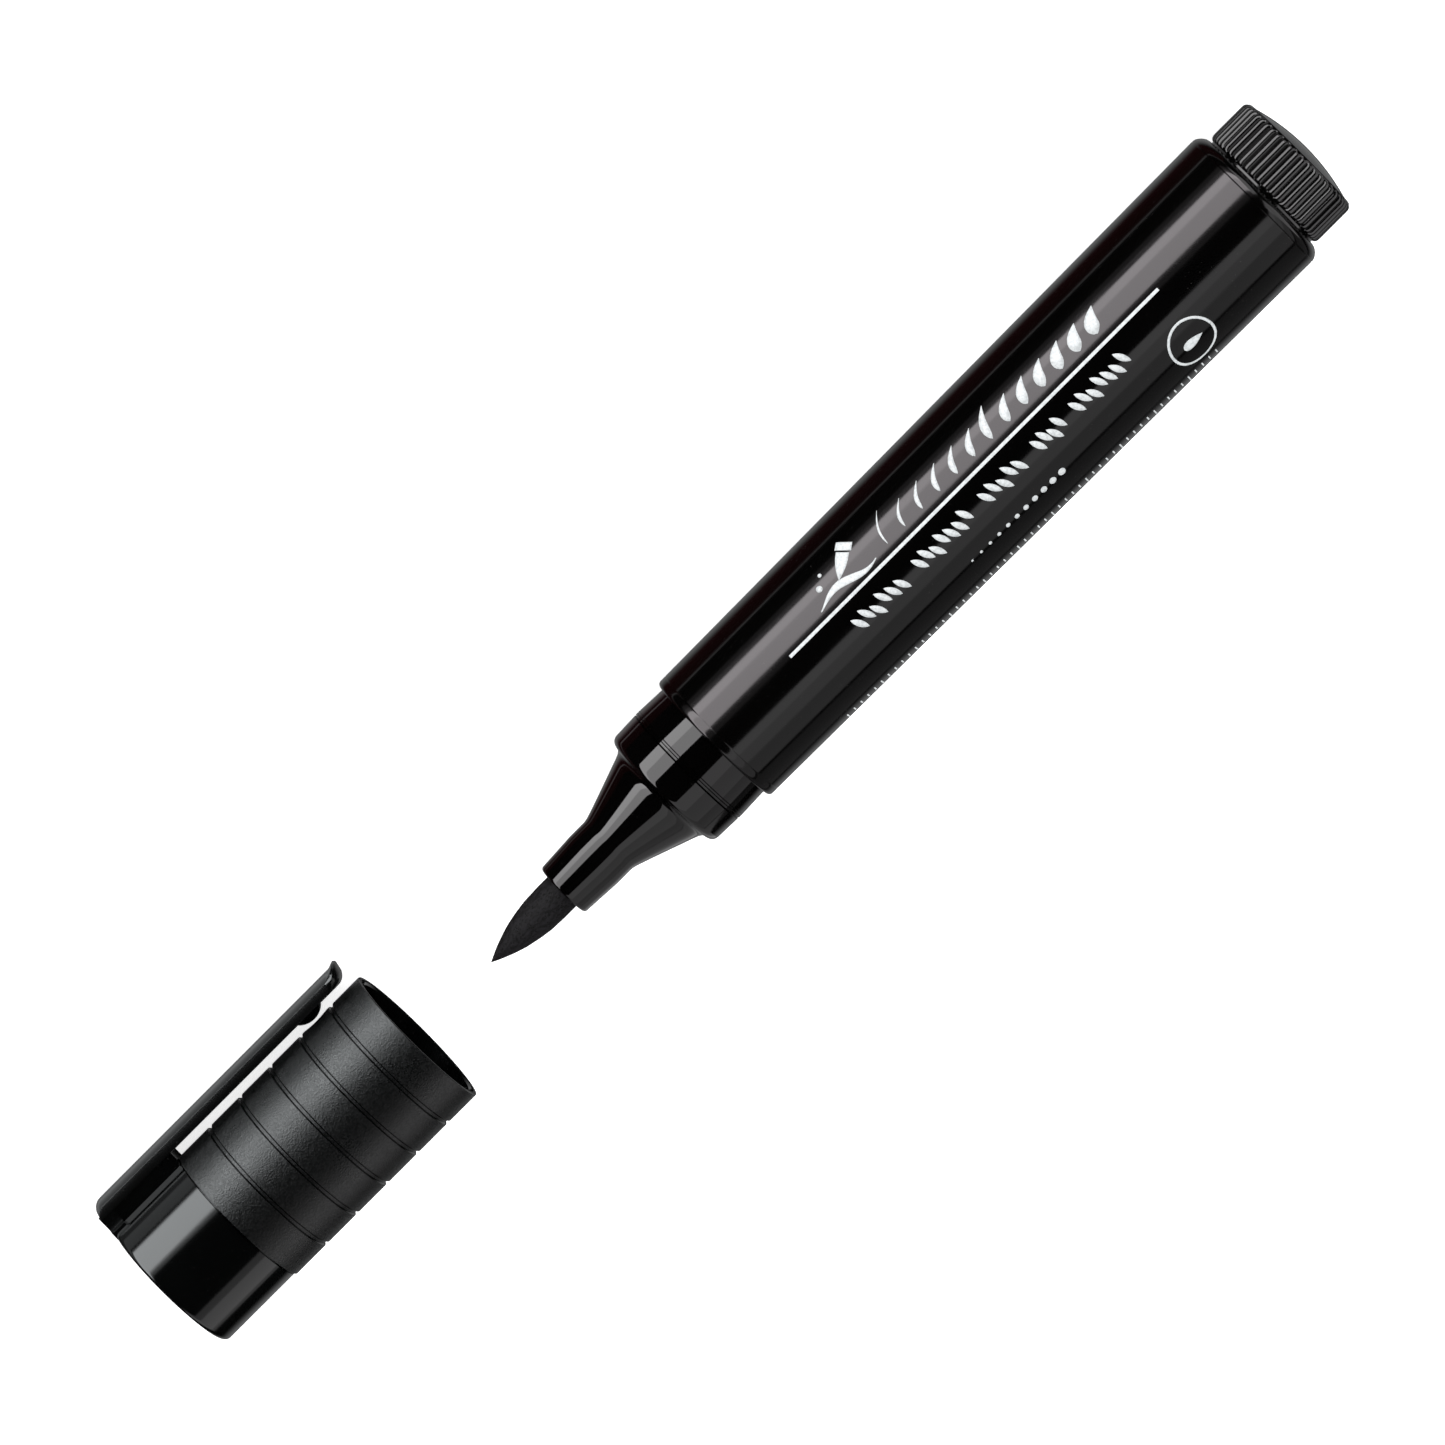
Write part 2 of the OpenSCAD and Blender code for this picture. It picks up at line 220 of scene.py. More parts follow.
# %% [markdown]
# The barrel is a plain tapered tube, a little thicker at the tail. Its front edge is a small
# radius with a fine moulding line behind it, and its rear shoulder is a broader, slightly
# flattened radius, so a crease shows where the shoulder starts.

# %% Barrel
BARREL_WALL = 1.5
BARREL_FRONT_R = 8.3
FRONT_EDGE = 0.45
LINE_BEHIND_EDGE = 1.15
LINE_DEPTH = 0.06
LINE_HALF = 0.08
SHOULDER = 1.2
SHOULDER_LINE = 0.12
SHOULDER_LINE_HALF = 0.07

barrel_rear_r = outer_radius("barrel")
bore_r = BARREL_FRONT_R - BARREL_WALL


def barrel_radius(place):
    """Radius of the barrel's outside at a place behind the nib's tip."""
    share = (place - barrel_front) / (barrel_rear - barrel_front)
    return BARREL_FRONT_R + (barrel_rear_r - BARREL_FRONT_R) * share


line_place = barrel_front + LINE_BEHIND_EDGE
line_r = barrel_radius(line_place)
rear_line = barrel_rear - SHOULDER - SHOULDER_LINE
rear_line_r = barrel_radius(rear_line)
barrel_shape = lathe([
    (barrel_front, bore_r),
    (barrel_front, BARREL_FRONT_R),
    (line_place - LINE_HALF, line_r),
    (line_place, line_r - LINE_DEPTH),
    (line_place + LINE_HALF, line_r),
    (rear_line - SHOULDER_LINE_HALF, rear_line_r),
    (rear_line, rear_line_r - LINE_DEPTH),
    (rear_line + SHOULDER_LINE_HALF, rear_line_r),
    (barrel_rear, barrel_rear_r),
    (barrel_rear, bore_r),
])
soften(barrel_shape, barrel_front, BARREL_FRONT_R, FRONT_EDGE, segments=5)
soften(barrel_shape, barrel_rear, barrel_rear_r, SHOULDER, segments=6, profile=0.42)
barrel = put_in_place("barrel_tube", barrel_shape, ON_PEN, "pen", ["barrel"])

# %% [markdown]
# The front section is one moulding: a short nose, a flare that opens like a trumpet, and the
# ring that the cap grips. The ring has two bands with a narrow bead between them. The flare is a
# hyperbola, because it leaves the nose in a short bend and then runs nearly straight. A small
# fillet leads from it into the ring's shoulder.

# %% Front section
NOSE_LENGTH = 6.6
NOSE_R = 3.5
NOSE_FACE_R = 3.25
NOSE_EDGE = 0.35
FLARE_LENGTH = 8.1
FLARE_BEND = 0.07
FILLET_LENGTH = 1.0
FLARE_STEPS = 28
FLARE_R = 5.85
RING_END_R = 7.51
BEAD_R = 7.65
RING_EDGE = 0.85
RING_FRONT = 3.8
SPIGOT = 6.0
NIB_BORE_R = 2.225
INK_BORE_R = 3.5
TAPER_SHARE = 0.7
FILLET = ((-0.5, 6.05), (-0.15, 6.3), (-0.03, 6.52), (0, 6.6))
BEAD = (
    (-0.14, -0.03), (-0.05, -0.2), (0.05, 0), (0.26, 0), (0.31, -0.07),
    (0.37, 0), (0.55, 0), (0.6, -0.06), (0.66, -0.01),
)

flare_start = nose_face + NOSE_LENGTH
shoulder = flare_start + FLARE_LENGTH
bead = shoulder + RING_FRONT
spigot_end = barrel_front + SPIGOT


def flare_share(share):
    """Share of the flare's rise that is reached at a share of its length."""
    return (hypot(share, FLARE_BEND) - FLARE_BEND) / (hypot(1, FLARE_BEND) - FLARE_BEND)


straight = FLARE_LENGTH - FILLET_LENGTH
flare = []
for step in range(FLARE_STEPS + 1):
    share = step / FLARE_STEPS
    flare.append((flare_start + straight * share, NOSE_R + (FLARE_R - NOSE_R) * flare_share(share)))
front_shape = lathe(
    [(nose_face, NIB_BORE_R), (nose_face, NOSE_FACE_R), (nose_face + NOSE_LENGTH * TAPER_SHARE, NOSE_R)]
    + flare
    + [(shoulder + offset, radius) for offset, radius in FILLET]
    + [(shoulder, RING_END_R)]
    + [(bead + offset, BEAD_R + rise) for offset, rise in BEAD]
    + [
        (barrel_front, RING_END_R), (barrel_front, bore_r), (spigot_end, bore_r),
        (spigot_end, INK_BORE_R), (shoulder, INK_BORE_R), (shoulder, NIB_BORE_R),
    ]
)
soften(front_shape, nose_face, NOSE_FACE_R, NOSE_EDGE)
soften(front_shape, nose_face, NIB_BORE_R, 0.12, segments=2)
soften(front_shape, shoulder, RING_END_R, RING_EDGE, segments=7)
front = put_in_place("grip_ring_and_nose", front_shape, ON_PEN, "pen", ["front_section"])

# %% [markdown]
# The nib is a rod of pressed felt, ground to a full, slightly bellied point at both ends, so
# that a worn one can be pulled out and turned round. A power curve draws the point. Felt is
# never as true as plastic, so a gentle unevenness is pressed into the mesh after the spin.

# %% Felt nib
NIB_POINT = 9.0
NIB_FULLNESS = 2.15
NIB_STEPS = 34
NIB_CROWDING = 1.6
NIB_WOBBLE = 0.022
nib_r = outer_radius("nib")
nib_end = pen_place(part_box("nib")[0].x)


def nib_outline_radius(place):
    """Radius of the nib at a place behind its tip, for the point at that end."""
    return nib_r * (1 - (1 - min(place / NIB_POINT, 1)) ** NIB_FULLNESS)


def felt_wobble(co):
    """A smooth, repeatable unevenness between -1 and 1."""
    long_wave = sin(co.x * 2.1 + co.y * 1.7)
    cross_wave = sin(co.y * 3.3 - co.x * 1.3 + co.z)
    short_wave = sin(co.z * 2.9 + co.x * 3.7)
    return (long_wave + cross_wave + short_wave) / 3


point = []
for step in range(NIB_STEPS + 1):
    place = NIB_POINT * (step / NIB_STEPS) ** NIB_CROWDING
    point.append((place, nib_outline_radius(place)))
nib_shape = lathe(point + [(nib_end - place, radius) for place, radius in reversed(point)], sides=96)
for vert in nib_shape.verts:
    if hypot(vert.co.y, vert.co.z) > TOUCH:
        swell = 1 - NIB_WOBBLE * (0.5 + 0.5 * felt_wobble(vert.co))
        vert.co.y *= swell
        vert.co.z *= swell
nib = put_in_place("felt_nib", nib_shape, ON_PEN, "pen", ["nib"])

# %% [markdown]
# The tail plug is closed by fingertips, so its head carries fifty rounded ribs. It is spun as a
# plain knob with twelve columns to a rib. Then each point in the ribbed stretch is pushed out by
# the height of the rib at its angle, which falls away to nothing at both ends. That gives the
# ribs their rounded ends, as the mould does.

# %% Tail plug
RIBS = 50
COLUMNS = 12
RIB_HEIGHT = 0.34
HOLLOW_R = 7.41
FOOT_R = 7.28
RIDGE_SHARE = 0.44
PLUG_SPIGOT = 8.0
PLUG_FLOOR = 1.0
FOOT_LENGTH = 0.22
RIM_ROUND = ((0, 0.03), (0.09, 0.14), (0.12, 0.32), (0.1, 0.62))
RIB_RISE = ((0.28, 0.0), (0.34, 0.35), (0.46, 0.68), (0.64, 0.9), (0.9, 1.0))
RIB_FALL = ((0.62, 1.0), (0.4, 0.9), (0.24, 0.65), (0.12, 0.3), (0.04, 0.0))
PLUG_RIM = 1.1
DOME_R = 6.69
DOME_EDGE = 0.13
DOME_STEPS = 12

plug_front = barrel_rear
plug_rim = plug_end - PLUG_RIM
rib_share = {round(plug_front + offset, 3): share for offset, share in RIB_RISE}
rib_share.update({round(plug_rim - offset, 3): share for offset, share in RIB_FALL})
dome = []
for step in range(DOME_STEPS + 1):
    radius = DOME_R * (1 - step / DOME_STEPS)
    dome.append((plug_end - (PLUG_RIM - DOME_EDGE) * (radius / DOME_R) ** 2, radius))
hollow_floor = plug_front - PLUG_FLOOR
spigot_mouth = plug_front - PLUG_SPIGOT
plug_shape = lathe(
    [(hollow_floor, 0), (hollow_floor, bore_r - BARREL_WALL), (spigot_mouth, bore_r - BARREL_WALL)]
    + [(spigot_mouth, bore_r), (plug_front, bore_r)]
    + [(plug_front, FOOT_R), (plug_front + FOOT_LENGTH, FOOT_R)]
    + [(place, HOLLOW_R) for place in sorted(rib_share)]
    + [(plug_rim + offset, HOLLOW_R - drop) for offset, drop in RIM_ROUND]
    + dome,
    sides=RIBS * COLUMNS,
)
for vert in plug_shape.verts:
    share = rib_share.get(round(vert.co.x, 3), 0)
    if share:
        phase = (atan2(vert.co.z, vert.co.y) * RIBS / tau) % 1 - 0.5
        ridge = sqrt(max(0, 1 - (phase / RIDGE_SHARE) ** 2))
        grow = 1 + RIB_HEIGHT * share * ridge / HOLLOW_R
        vert.co.y *= grow
        vert.co.z *= grow
plug = put_in_place("ribbed_tail_plug", plug_shape, ON_PEN, "pen", ["tail_plug"])

# %% [markdown]
# The cap's body is a closed cup. Its thin wall runs under the sleeve, and its last stretch is
# left bare and polished. The clip's web and the heel at the closed end are part of the same
# moulding, so they are welded on with a Boolean and leave no hidden walls behind.

# %% Cap body, web and heel
CAP_BORE_R = 7.725
CAP_UNDER_R = 8.275
GLOSS_R = 8.525
CAP_FLOOR = 1.2
MOUTH_CHAMFER = 0.22
END_EDGE = 0.6
CLIP_UNDER = 9.675
CLIP_WIDTH = 6.6
WEB_INSET = 0.3
HEEL_LENGTH = 1.8
HEEL_SPREAD = 0.7
CUP_SETBACK = 0.02
NECK_DEPTH = 0.1
NECK_END = 0.14
WEB_ROUND = 0.6
WEB_SINK = 0.65
WEB_OVERLAP = 0.35
HEEL_OVERLAP = 0.45


def weld(piece, block):
    """Joins a block's solid to a piece's with a Boolean, and clears the block away."""
    union = piece.modifiers.new("weld", "BOOLEAN")
    union.operation = "UNION"
    union.solver = "EXACT"
    union.object = block
    piece.modifiers.move(len(piece.modifiers) - 1, 0)
    shading = piece.modifiers["even shading"]
    shading.show_viewport = False
    bpy.context.view_layer.update()
    result = piece.evaluated_get(bpy.context.evaluated_depsgraph_get())
    joined = bpy.data.meshes.new_from_object(result)
    piece.modifiers.remove(union)
    shading.show_viewport = True
    old = piece.data
    piece.data = joined
    joined.name = piece.name
    bpy.data.meshes.remove(old)
    bpy.data.objects.remove(block)
    shade(joined)


def block_on_clip(name, places, half_width, heights, rounding):
    """A box on the clip's bench with its upright edges rounded, ready to be welded."""
    shape = bmesh.new()
    bmesh.ops.create_cube(shape, size=1)
    size = Vector((places[1] - places[0], 2 * half_width, heights[1] - heights[0]))
    bmesh.ops.scale(shape, vec=size, verts=shape.verts)
    middle = Vector(((places[0] + places[1]) / 2, 0, (heights[0] + heights[1]) / 2))
    bmesh.ops.translate(shape, vec=middle, verts=shape.verts)
    upright = [e for e in shape.edges if abs(e.verts[0].co.z - e.verts[1].co.z) > TOUCH]
    bmesh.ops.bevel(
        shape, geom=upright, offset=rounding, offset_type="OFFSET", segments=3, profile=0.5,
        affect="EDGES", material=-1,
    )
    return show_shape(name, shape, ON_CLIP)


cap_shape = lathe([
    (cap_end - CAP_FLOOR, 0), (cap_end - CAP_FLOOR, CAP_BORE_R), (MOUTH_CHAMFER, CAP_BORE_R),
    (CUP_SETBACK, CAP_BORE_R + MOUTH_CHAMFER), (CUP_SETBACK, CAP_UNDER_R), (sleeve_end, CAP_UNDER_R),
    (sleeve_end, CAP_UNDER_R - NECK_DEPTH), (sleeve_end + NECK_DEPTH, CAP_UNDER_R - NECK_DEPTH),
    (sleeve_end + NECK_END, GLOSS_R), (cap_end, GLOSS_R), (cap_end, 0),
])
soften(cap_shape, cap_end, GLOSS_R, END_EDGE, segments=5)
cap_body = put_in_place("cap_cup", cap_shape, ON_CAP, "cap", ["cap_body"])

web_foot = (CAP_BORE_R + GLOSS_R) / 2 - WEB_SINK
half_web = CLIP_WIDTH / 2 - WEB_INSET
web_places = (sleeve_end + 0.02, cap_end - HEEL_LENGTH / 2)
web = block_on_clip("web", web_places, half_web, (web_foot, CLIP_UNDER + WEB_OVERLAP), WEB_ROUND)
weld(cap_body, web)
print(f"cap with its web: {len(cap_body.data.polygons)} faces")

# %% [markdown]
# The heel is the block where the clip meets the closed end. It is a little wider than the clip
# and its inner side spreads in a small fillet, so it is drawn as its own outline across the cap
# and pushed along the axis.

# %% Heel
half_heel = CLIP_WIDTH / 2 + HEEL_SPREAD
heel_low = sqrt(GLOSS_R ** 2 - half_heel ** 2) - 0.45
heel_side = [
    (half_heel, heel_low), (half_heel - 0.1, heel_low + 0.85),
    (CLIP_WIDTH / 2 + 0.12, heel_low + 1.2), (CLIP_WIDTH / 2 - 0.02, heel_low + 1.9),
    (CLIP_WIDTH / 2 - 0.08, CLIP_UNDER + HEEL_OVERLAP),
]
heel_outline = heel_side + [(-across, height) for across, height in reversed(heel_side)]
heel_shape = bmesh.new()
heel_front = cap_end - HEEL_LENGTH
heel_corners = [heel_shape.verts.new((heel_front, across, height)) for across, height in heel_outline]
heel_face = heel_shape.faces.new(heel_corners)
pushed = bmesh.ops.extrude_face_region(heel_shape, geom=[heel_face])
new_verts = [item for item in pushed["geom"] if isinstance(item, bmesh.types.BMVert)]
bmesh.ops.translate(heel_shape, vec=(HEEL_LENGTH - 0.01, 0, 0), verts=new_verts)
bmesh.ops.recalc_face_normals(heel_shape, faces=heel_shape.faces)
weld(cap_body, show_shape("heel", heel_shape, ON_CLIP))
print(f"cap with web and heel: {len(cap_body.data.polygons)} faces")

# %% [markdown]
# The sleeve is a thin tube with five fine grooves. Each groove has sloping walls and a flat
# floor, so two dark lines show with a lighter one between. Under the clip's pip the sleeve is
# hollowed. The rings there are cut close together first, and then every point inside the hollow's
# ball is moved out of it, which leaves a clean scoop.

# %% Cap sleeve
GROOVES = 5
FIRST_BAND = 4.2
LAST_BAND = 4.55
GROOVE_DEPTH = 0.24
GROOVE_HALF = 0.3
GROOVE_FLOOR = 0.12
SLEEVE_EDGE = 0.13
GROOVE_EDGE = 0.05
SLEEVE_FIT = 0.005
HOLLOW_WALL = 0.03
PIP_R = 2.35
PIP_HEIGHT = 0.78
DIMPLE_DEPTH = 0.45
FINE_STEP = 0.12

sleeve_r = outer_radius("cap_sleeve")
groove_pitch = (sleeve_end - FIRST_BAND - LAST_BAND) / (GROOVES - 1)
pip_place = FIRST_BAND + groove_pitch / 2
pip_out = CLIP_UNDER - PIP_HEIGHT + PIP_R
dimple_r = pip_out - sleeve_r + DIMPLE_DEPTH

sleeve_outline = [(0, CAP_UNDER_R + SLEEVE_FIT), (0, sleeve_r)]
for number in range(GROOVES):
    middle = FIRST_BAND + number * groove_pitch
    sleeve_outline += [
        (middle - GROOVE_HALF, sleeve_r), (middle - GROOVE_FLOOR, sleeve_r - GROOVE_DEPTH),
        (middle + GROOVE_FLOOR, sleeve_r - GROOVE_DEPTH), (middle + GROOVE_HALF, sleeve_r),
    ]
sleeve_outline += [(sleeve_end, sleeve_r), (sleeve_end, CAP_UNDER_R + SLEEVE_FIT)]
sleeve_shape = lathe(sleeve_outline, sides=SIDES * 2)
for place in (0, sleeve_end):
    soften(sleeve_shape, place, sleeve_r, SLEEVE_EDGE, segments=3)
for number in range(GROOVES):
    for side in (-GROOVE_HALF, GROOVE_HALF):
        edge_place = FIRST_BAND + number * groove_pitch + side
        soften(sleeve_shape, edge_place, sleeve_r, GROOVE_EDGE, segments=2)
place = FIRST_BAND + GROOVE_HALF + FINE_STEP
while place < FIRST_BAND + groove_pitch - GROOVE_HALF:
    bmesh.ops.bisect_plane(
        sleeve_shape, geom=sleeve_shape.verts[:] + sleeve_shape.edges[:] + sleeve_shape.faces[:],
        plane_co=(place, 0, 0), plane_no=(1, 0, 0), dist=TOUCH,
    )
    place += FINE_STEP
ball = Matrix.Rotation(clip_turn, 3, "X") @ Vector((pip_place, 0, pip_out))
ball_out = Vector((0, ball.y, ball.z))
moved = 0
for vert in sleeve_shape.verts:
    radius = hypot(vert.co.y, vert.co.z)
    reach = dimple_r ** 2 - (vert.co - ball).length_squared
    if reach > 0 and radius > CAP_UNDER_R + 0.02:
        along = vert.co.x - ball.x
        side = Vector((0, vert.co.y, vert.co.z)).normalized()
        toward = side.dot(ball_out)
        off = ball_out.length_squared - toward ** 2
        floor_r = toward - sqrt(max(0, dimple_r ** 2 - along ** 2 - off))
        if floor_r < radius:
            sunk = max(floor_r, CAP_UNDER_R + HOLLOW_WALL) / radius
            vert.co.y *= sunk
            vert.co.z *= sunk
            moved += 1
sleeve = put_in_place("grooved_sleeve", sleeve_shape, ON_CAP, "cap", ["cap_sleeve"])
print(f"hollow under the pip: {moved} points moved by up to {DIMPLE_DEPTH} mm")

# %% [markdown]
# The clip is one springy bar. Its back is crowned, its sides and underside are flat, the tip is
# round in plan and curls outwards into a small lip, and the heel's corner is rounded over. A grid
# is bent into the crowned back, and an extrusion of the same grid makes the sides and the
# underside. Rows near the tip are bent into arcs, so that the sides run into the round tip.

# %% Clip
CLIP_THICK = 1.95
CROWN = 0.9
LIP_RISE = 0.35
LIP_LENGTH = 1.15
TIP_ROUND = 1.9
TIP_BEND_REACH = 5.0
TIP_SCOOP_LENGTH = 1.5
TIP_CROWDING = 0.32
TIP_EDGE = 0.3
TIP_EDGE_DROP = 0.22
SCOOP_DISH = 0.25
LEAST_THICK = 0.12
HEEL_ROUND = 1.25
CLIP_EDGE = 0.24
RIM_ANGLE = radians(42)
LONG_STEPS = 120
CROSS_STEPS = 24

crown_r = ((CLIP_WIDTH / 2) ** 2 + CROWN ** 2) / (2 * CROWN)
half = CLIP_WIDTH / 2
clip_length = cap_end - clip_tip


def quarter(share):
    """Fall of a quarter circle: 0 at share 0, and 1 at share 1."""
    return 1 - sqrt(max(0, 1 - min(max(share, 0), 1) ** 2))


def ease(share):
    """A smooth step from 0 to 1."""
    share = min(max(share, 0), 1)
    return share * share * (3 - 2 * share)


def clip_point(u, v, top):
    """A point on the clip's back or underside. u runs from tip to heel and v across, both 0 to 1."""
    from_tip = clip_length * (u - TIP_CROWDING * sin(tau * u) / tau)
    across = half * sin(pi * (v - 0.5))
    bend = TIP_ROUND * quarter(abs(across) / half) * (1 - ease(from_tip / TIP_BEND_REACH))
    from_heel = clip_length - from_tip
    back = CLIP_THICK - crown_r + sqrt(crown_r ** 2 - across ** 2)
    level = 1 - (across / half) ** 2
    back += LIP_RISE * level * ease(1 - from_tip / LIP_LENGTH)
    back -= TIP_EDGE_DROP * quarter(1 - from_tip / TIP_EDGE)
    back -= HEEL_ROUND * quarter(1 - from_heel / HEEL_ROUND)
    dish = 1 - SCOOP_DISH * (across / half) ** 2
    under = (CLIP_THICK - 0.1) * quarter(1 - from_tip / TIP_SCOOP_LENGTH) * dish
    height = back if top else min(under, back - LEAST_THICK)
    return Vector((clip_tip + from_tip + bend, across, CLIP_UNDER + height))


clip_shape = bmesh.new()
bmesh.ops.create_grid(clip_shape, x_segments=LONG_STEPS, y_segments=CROSS_STEPS, size=0.5)
for vert in clip_shape.verts:
    vert.co = Vector((vert.co.x + 0.5, vert.co.y + 0.5, 0))
lower = bmesh.ops.extrude_face_region(clip_shape, geom=clip_shape.faces[:])
lower_verts = {item for item in lower["geom"] if isinstance(item, bmesh.types.BMVert)}
for vert in clip_shape.verts:
    vert.co = clip_point(vert.co.x, vert.co.y, top=vert in lower_verts)
bmesh.ops.recalc_face_normals(clip_shape, faces=clip_shape.faces)
rim = [
    edge for edge in clip_shape.edges
    if len(edge.link_faces) == 2 and edge.calc_face_angle() > RIM_ANGLE
]
bmesh.ops.bevel(
    clip_shape, geom=rim, offset=CLIP_EDGE, offset_type="OFFSET", segments=3, profile=0.5,
    affect="EDGES", material=-1, clamp_overlap=True,
)
clip = put_in_place("clip_bar", clip_shape, ON_CLIP, None, ["clip_arm"])

# %% [markdown]
# The pip is the round bump under the clip that holds it to a pocket's edge. A ball is cut off
# just above the clip's underside and welded on.
#
# On the real pen the clip bends where it leaves its web, as the springy plastic does.

# %% Pip
PIP_OVERLAP = 0.4

pip_shape = bmesh.new()
bmesh.ops.create_uvsphere(pip_shape, u_segments=64, v_segments=48, radius=PIP_R)
bmesh.ops.translate(pip_shape, vec=(pip_place, 0, pip_out), verts=pip_shape.verts)
bmesh.ops.bisect_plane(
    pip_shape, geom=pip_shape.verts[:] + pip_shape.edges[:] + pip_shape.faces[:],
    plane_co=(0, 0, CLIP_UNDER + PIP_OVERLAP), plane_no=(0, 0, 1), clear_outer=True, dist=TOUCH,
)
bmesh.ops.holes_fill(pip_shape, edges=[e for e in pip_shape.edges if e.is_boundary])
weld(clip, show_shape("pip", pip_shape, ON_CLIP))
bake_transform(clip)

# %% [markdown]
# The print is a skin of white ink, a few hundredths of a millimetre thick. It is drawn on a flat
# sheet first, with one direction along the pen and the other round it, and the sheet is then
# wrapped on the tapered barrel. A stroke is an edge that is extruded along a path while its
# length changes, just as a brush nib opens and closes. The marks are plain ornament that shows
# what such a nib can do: a long rule, a row of blades from hairline to full, groups of dabs,
# growing dots, a drop in a ring and, at the side, the ticks of a millimetre scale.

# %% Drawing on a flat sheet
INK_PROUD = 0.02
INK_THICK = 0.03
HAIRLINE = 0.05
FINE_CUT = 0.45


def stroke(sheet, path, breadth, steps=14):
    """Extrudes an edge along a path. path gives its middle and breadth its length at each share."""
    edge = None
    for step in range(steps + 1):
        share = step / steps
        ahead = Vector(path(min(share + 0.01, 1))) - Vector(path(max(share - 0.01, 0)))
        across = Vector((-ahead.y, ahead.x, 0)).normalized() * max(breadth(share), HAIRLINE) / 2
        middle = Vector((*path(share), 0))
        if edge is None:
            edge = sheet.edges.new([sheet.verts.new(middle - across), sheet.verts.new(middle + across)])
            left = edge.verts[0].co.copy()
            continue
        grown = bmesh.ops.extrude_edge_only(sheet, edges=[edge])["geom"]
        ends = [item for item in grown if isinstance(item, bmesh.types.BMVert)]
        ends.sort(key=lambda vert: (vert.co - left).length)
        ends[0].co = middle - across
        ends[1].co = middle + across
        left = ends[0].co.copy()
        edge = sheet.edges.get(ends)


def along(start, end):
    """The straight path between two points."""
    return lambda s: (start[0] + (end[0] - start[0]) * s, start[1] + (end[1] - start[1]) * s)


def rule(sheet, start, end, breadth):
    """A straight line of one breadth."""
    stroke(sheet, along(start, end), lambda s: breadth, 1)


def dot(sheet, place, across, radius):
    """A round dot."""
    at = Matrix.Translation((place, across, 0))
    bmesh.ops.create_circle(sheet, cap_ends=True, segments=20, radius=radius, matrix=at)


# %% [markdown]
# The rows keep the rhythm of a maker's print: a tall row over the long rule, a lower and longer
# one under it, and a small one below that. Nothing in them is a letter.

# %% Ornament on the sheet
RULE_ENDS = (45.3, 99.2)
RULE_ACROSS = 0.48
RULE_BREADTH = 0.36
BLADE_ENDS = (60.3, 93.6)
BLADE_LOW = 1.65
BLADE_HIGH = 5.2
BLADES = 13
TALL_BLADES = (0, 6)
DAB_GROUPS = ((52.4, 59.6, 6), (61.2, 69.2, 7), (70.9, 76.9, 5), (78.6, 82.8, 4), (84.2, 92.2, 7))
DAB_LOW = -3.6
DAB_HIGH = -1.3
DOT_ENDS = (65.7, 78.8)
DOTS = 11
DOT_ACROSS = -6.45
RING_AT = (97.9, -6.55)
RING_SIZE = (2.7, 2.95)
TICKS_FROM = 45
TICKS = 55
TICK_ACROSS = -10.6

sheet = bmesh.new()
rule(sheet, (RULE_ENDS[0], RULE_ACROSS), (RULE_ENDS[1], RULE_ACROSS), RULE_BREADTH)

pitch = (BLADE_ENDS[1] - BLADE_ENDS[0]) / BLADES
for number in range(BLADES):
    foot = BLADE_ENDS[0] + pitch * number
    rise = BLADE_HIGH - BLADE_LOW if number in TALL_BLADES else (BLADE_HIGH - BLADE_LOW) * 0.76
    full = 0.25 + 1.35 * number / (BLADES - 1)
    stroke(
        sheet,
        lambda s: (foot + pitch * (0.2 + 0.6 * s - 0.18 * sin(pi * s)), BLADE_LOW + rise * s),
        lambda s: full * sin(pi * s ** 0.75) ** 0.9,
    )

for start, end, dabs in DAB_GROUPS:
    step_along = (end - start) / dabs
    for number in range(dabs):
        at = start + step_along * number
        level = 0.35 * sin(2.4 * number)
        path = along((at, DAB_HIGH + level), (at + step_along * 0.85, DAB_LOW + level + 0.45))
        stroke(sheet, path, lambda s: 0.72 * sin(pi * s) ** 0.7, steps=8)

for number in range(DOTS):
    share = number / (DOTS - 1)
    dot(sheet, DOT_ENDS[0] + (DOT_ENDS[1] - DOT_ENDS[0]) * share, DOT_ACROSS, 0.14 + 0.3 * share)

stroke(
    sheet,
    lambda s: (RING_AT[0] + RING_SIZE[0] * cos(tau * s), RING_AT[1] + RING_SIZE[1] * sin(tau * s)),
    lambda s: 0.3,
    steps=48,
)
stroke(
    sheet,
    along((RING_AT[0] - 1.25, RING_AT[1]), (RING_AT[0] + 1.35, RING_AT[1])),
    lambda s: 3.1 * sqrt(s) * (1 - s),
    steps=18,
)

for number in range(TICKS):
    reach = 2.4 if number % 10 == 0 else 1.7 if number % 5 == 0 else 1.1
    at = TICKS_FROM + number
    rule(sheet, (at, TICK_ACROSS), (at, TICK_ACROSS - reach), 0.16)

# %% [markdown]
# A small picture of a brush nib at work stands in front of the tall row: the nib's point, the
# swelling stroke that it leaves, and two drops.

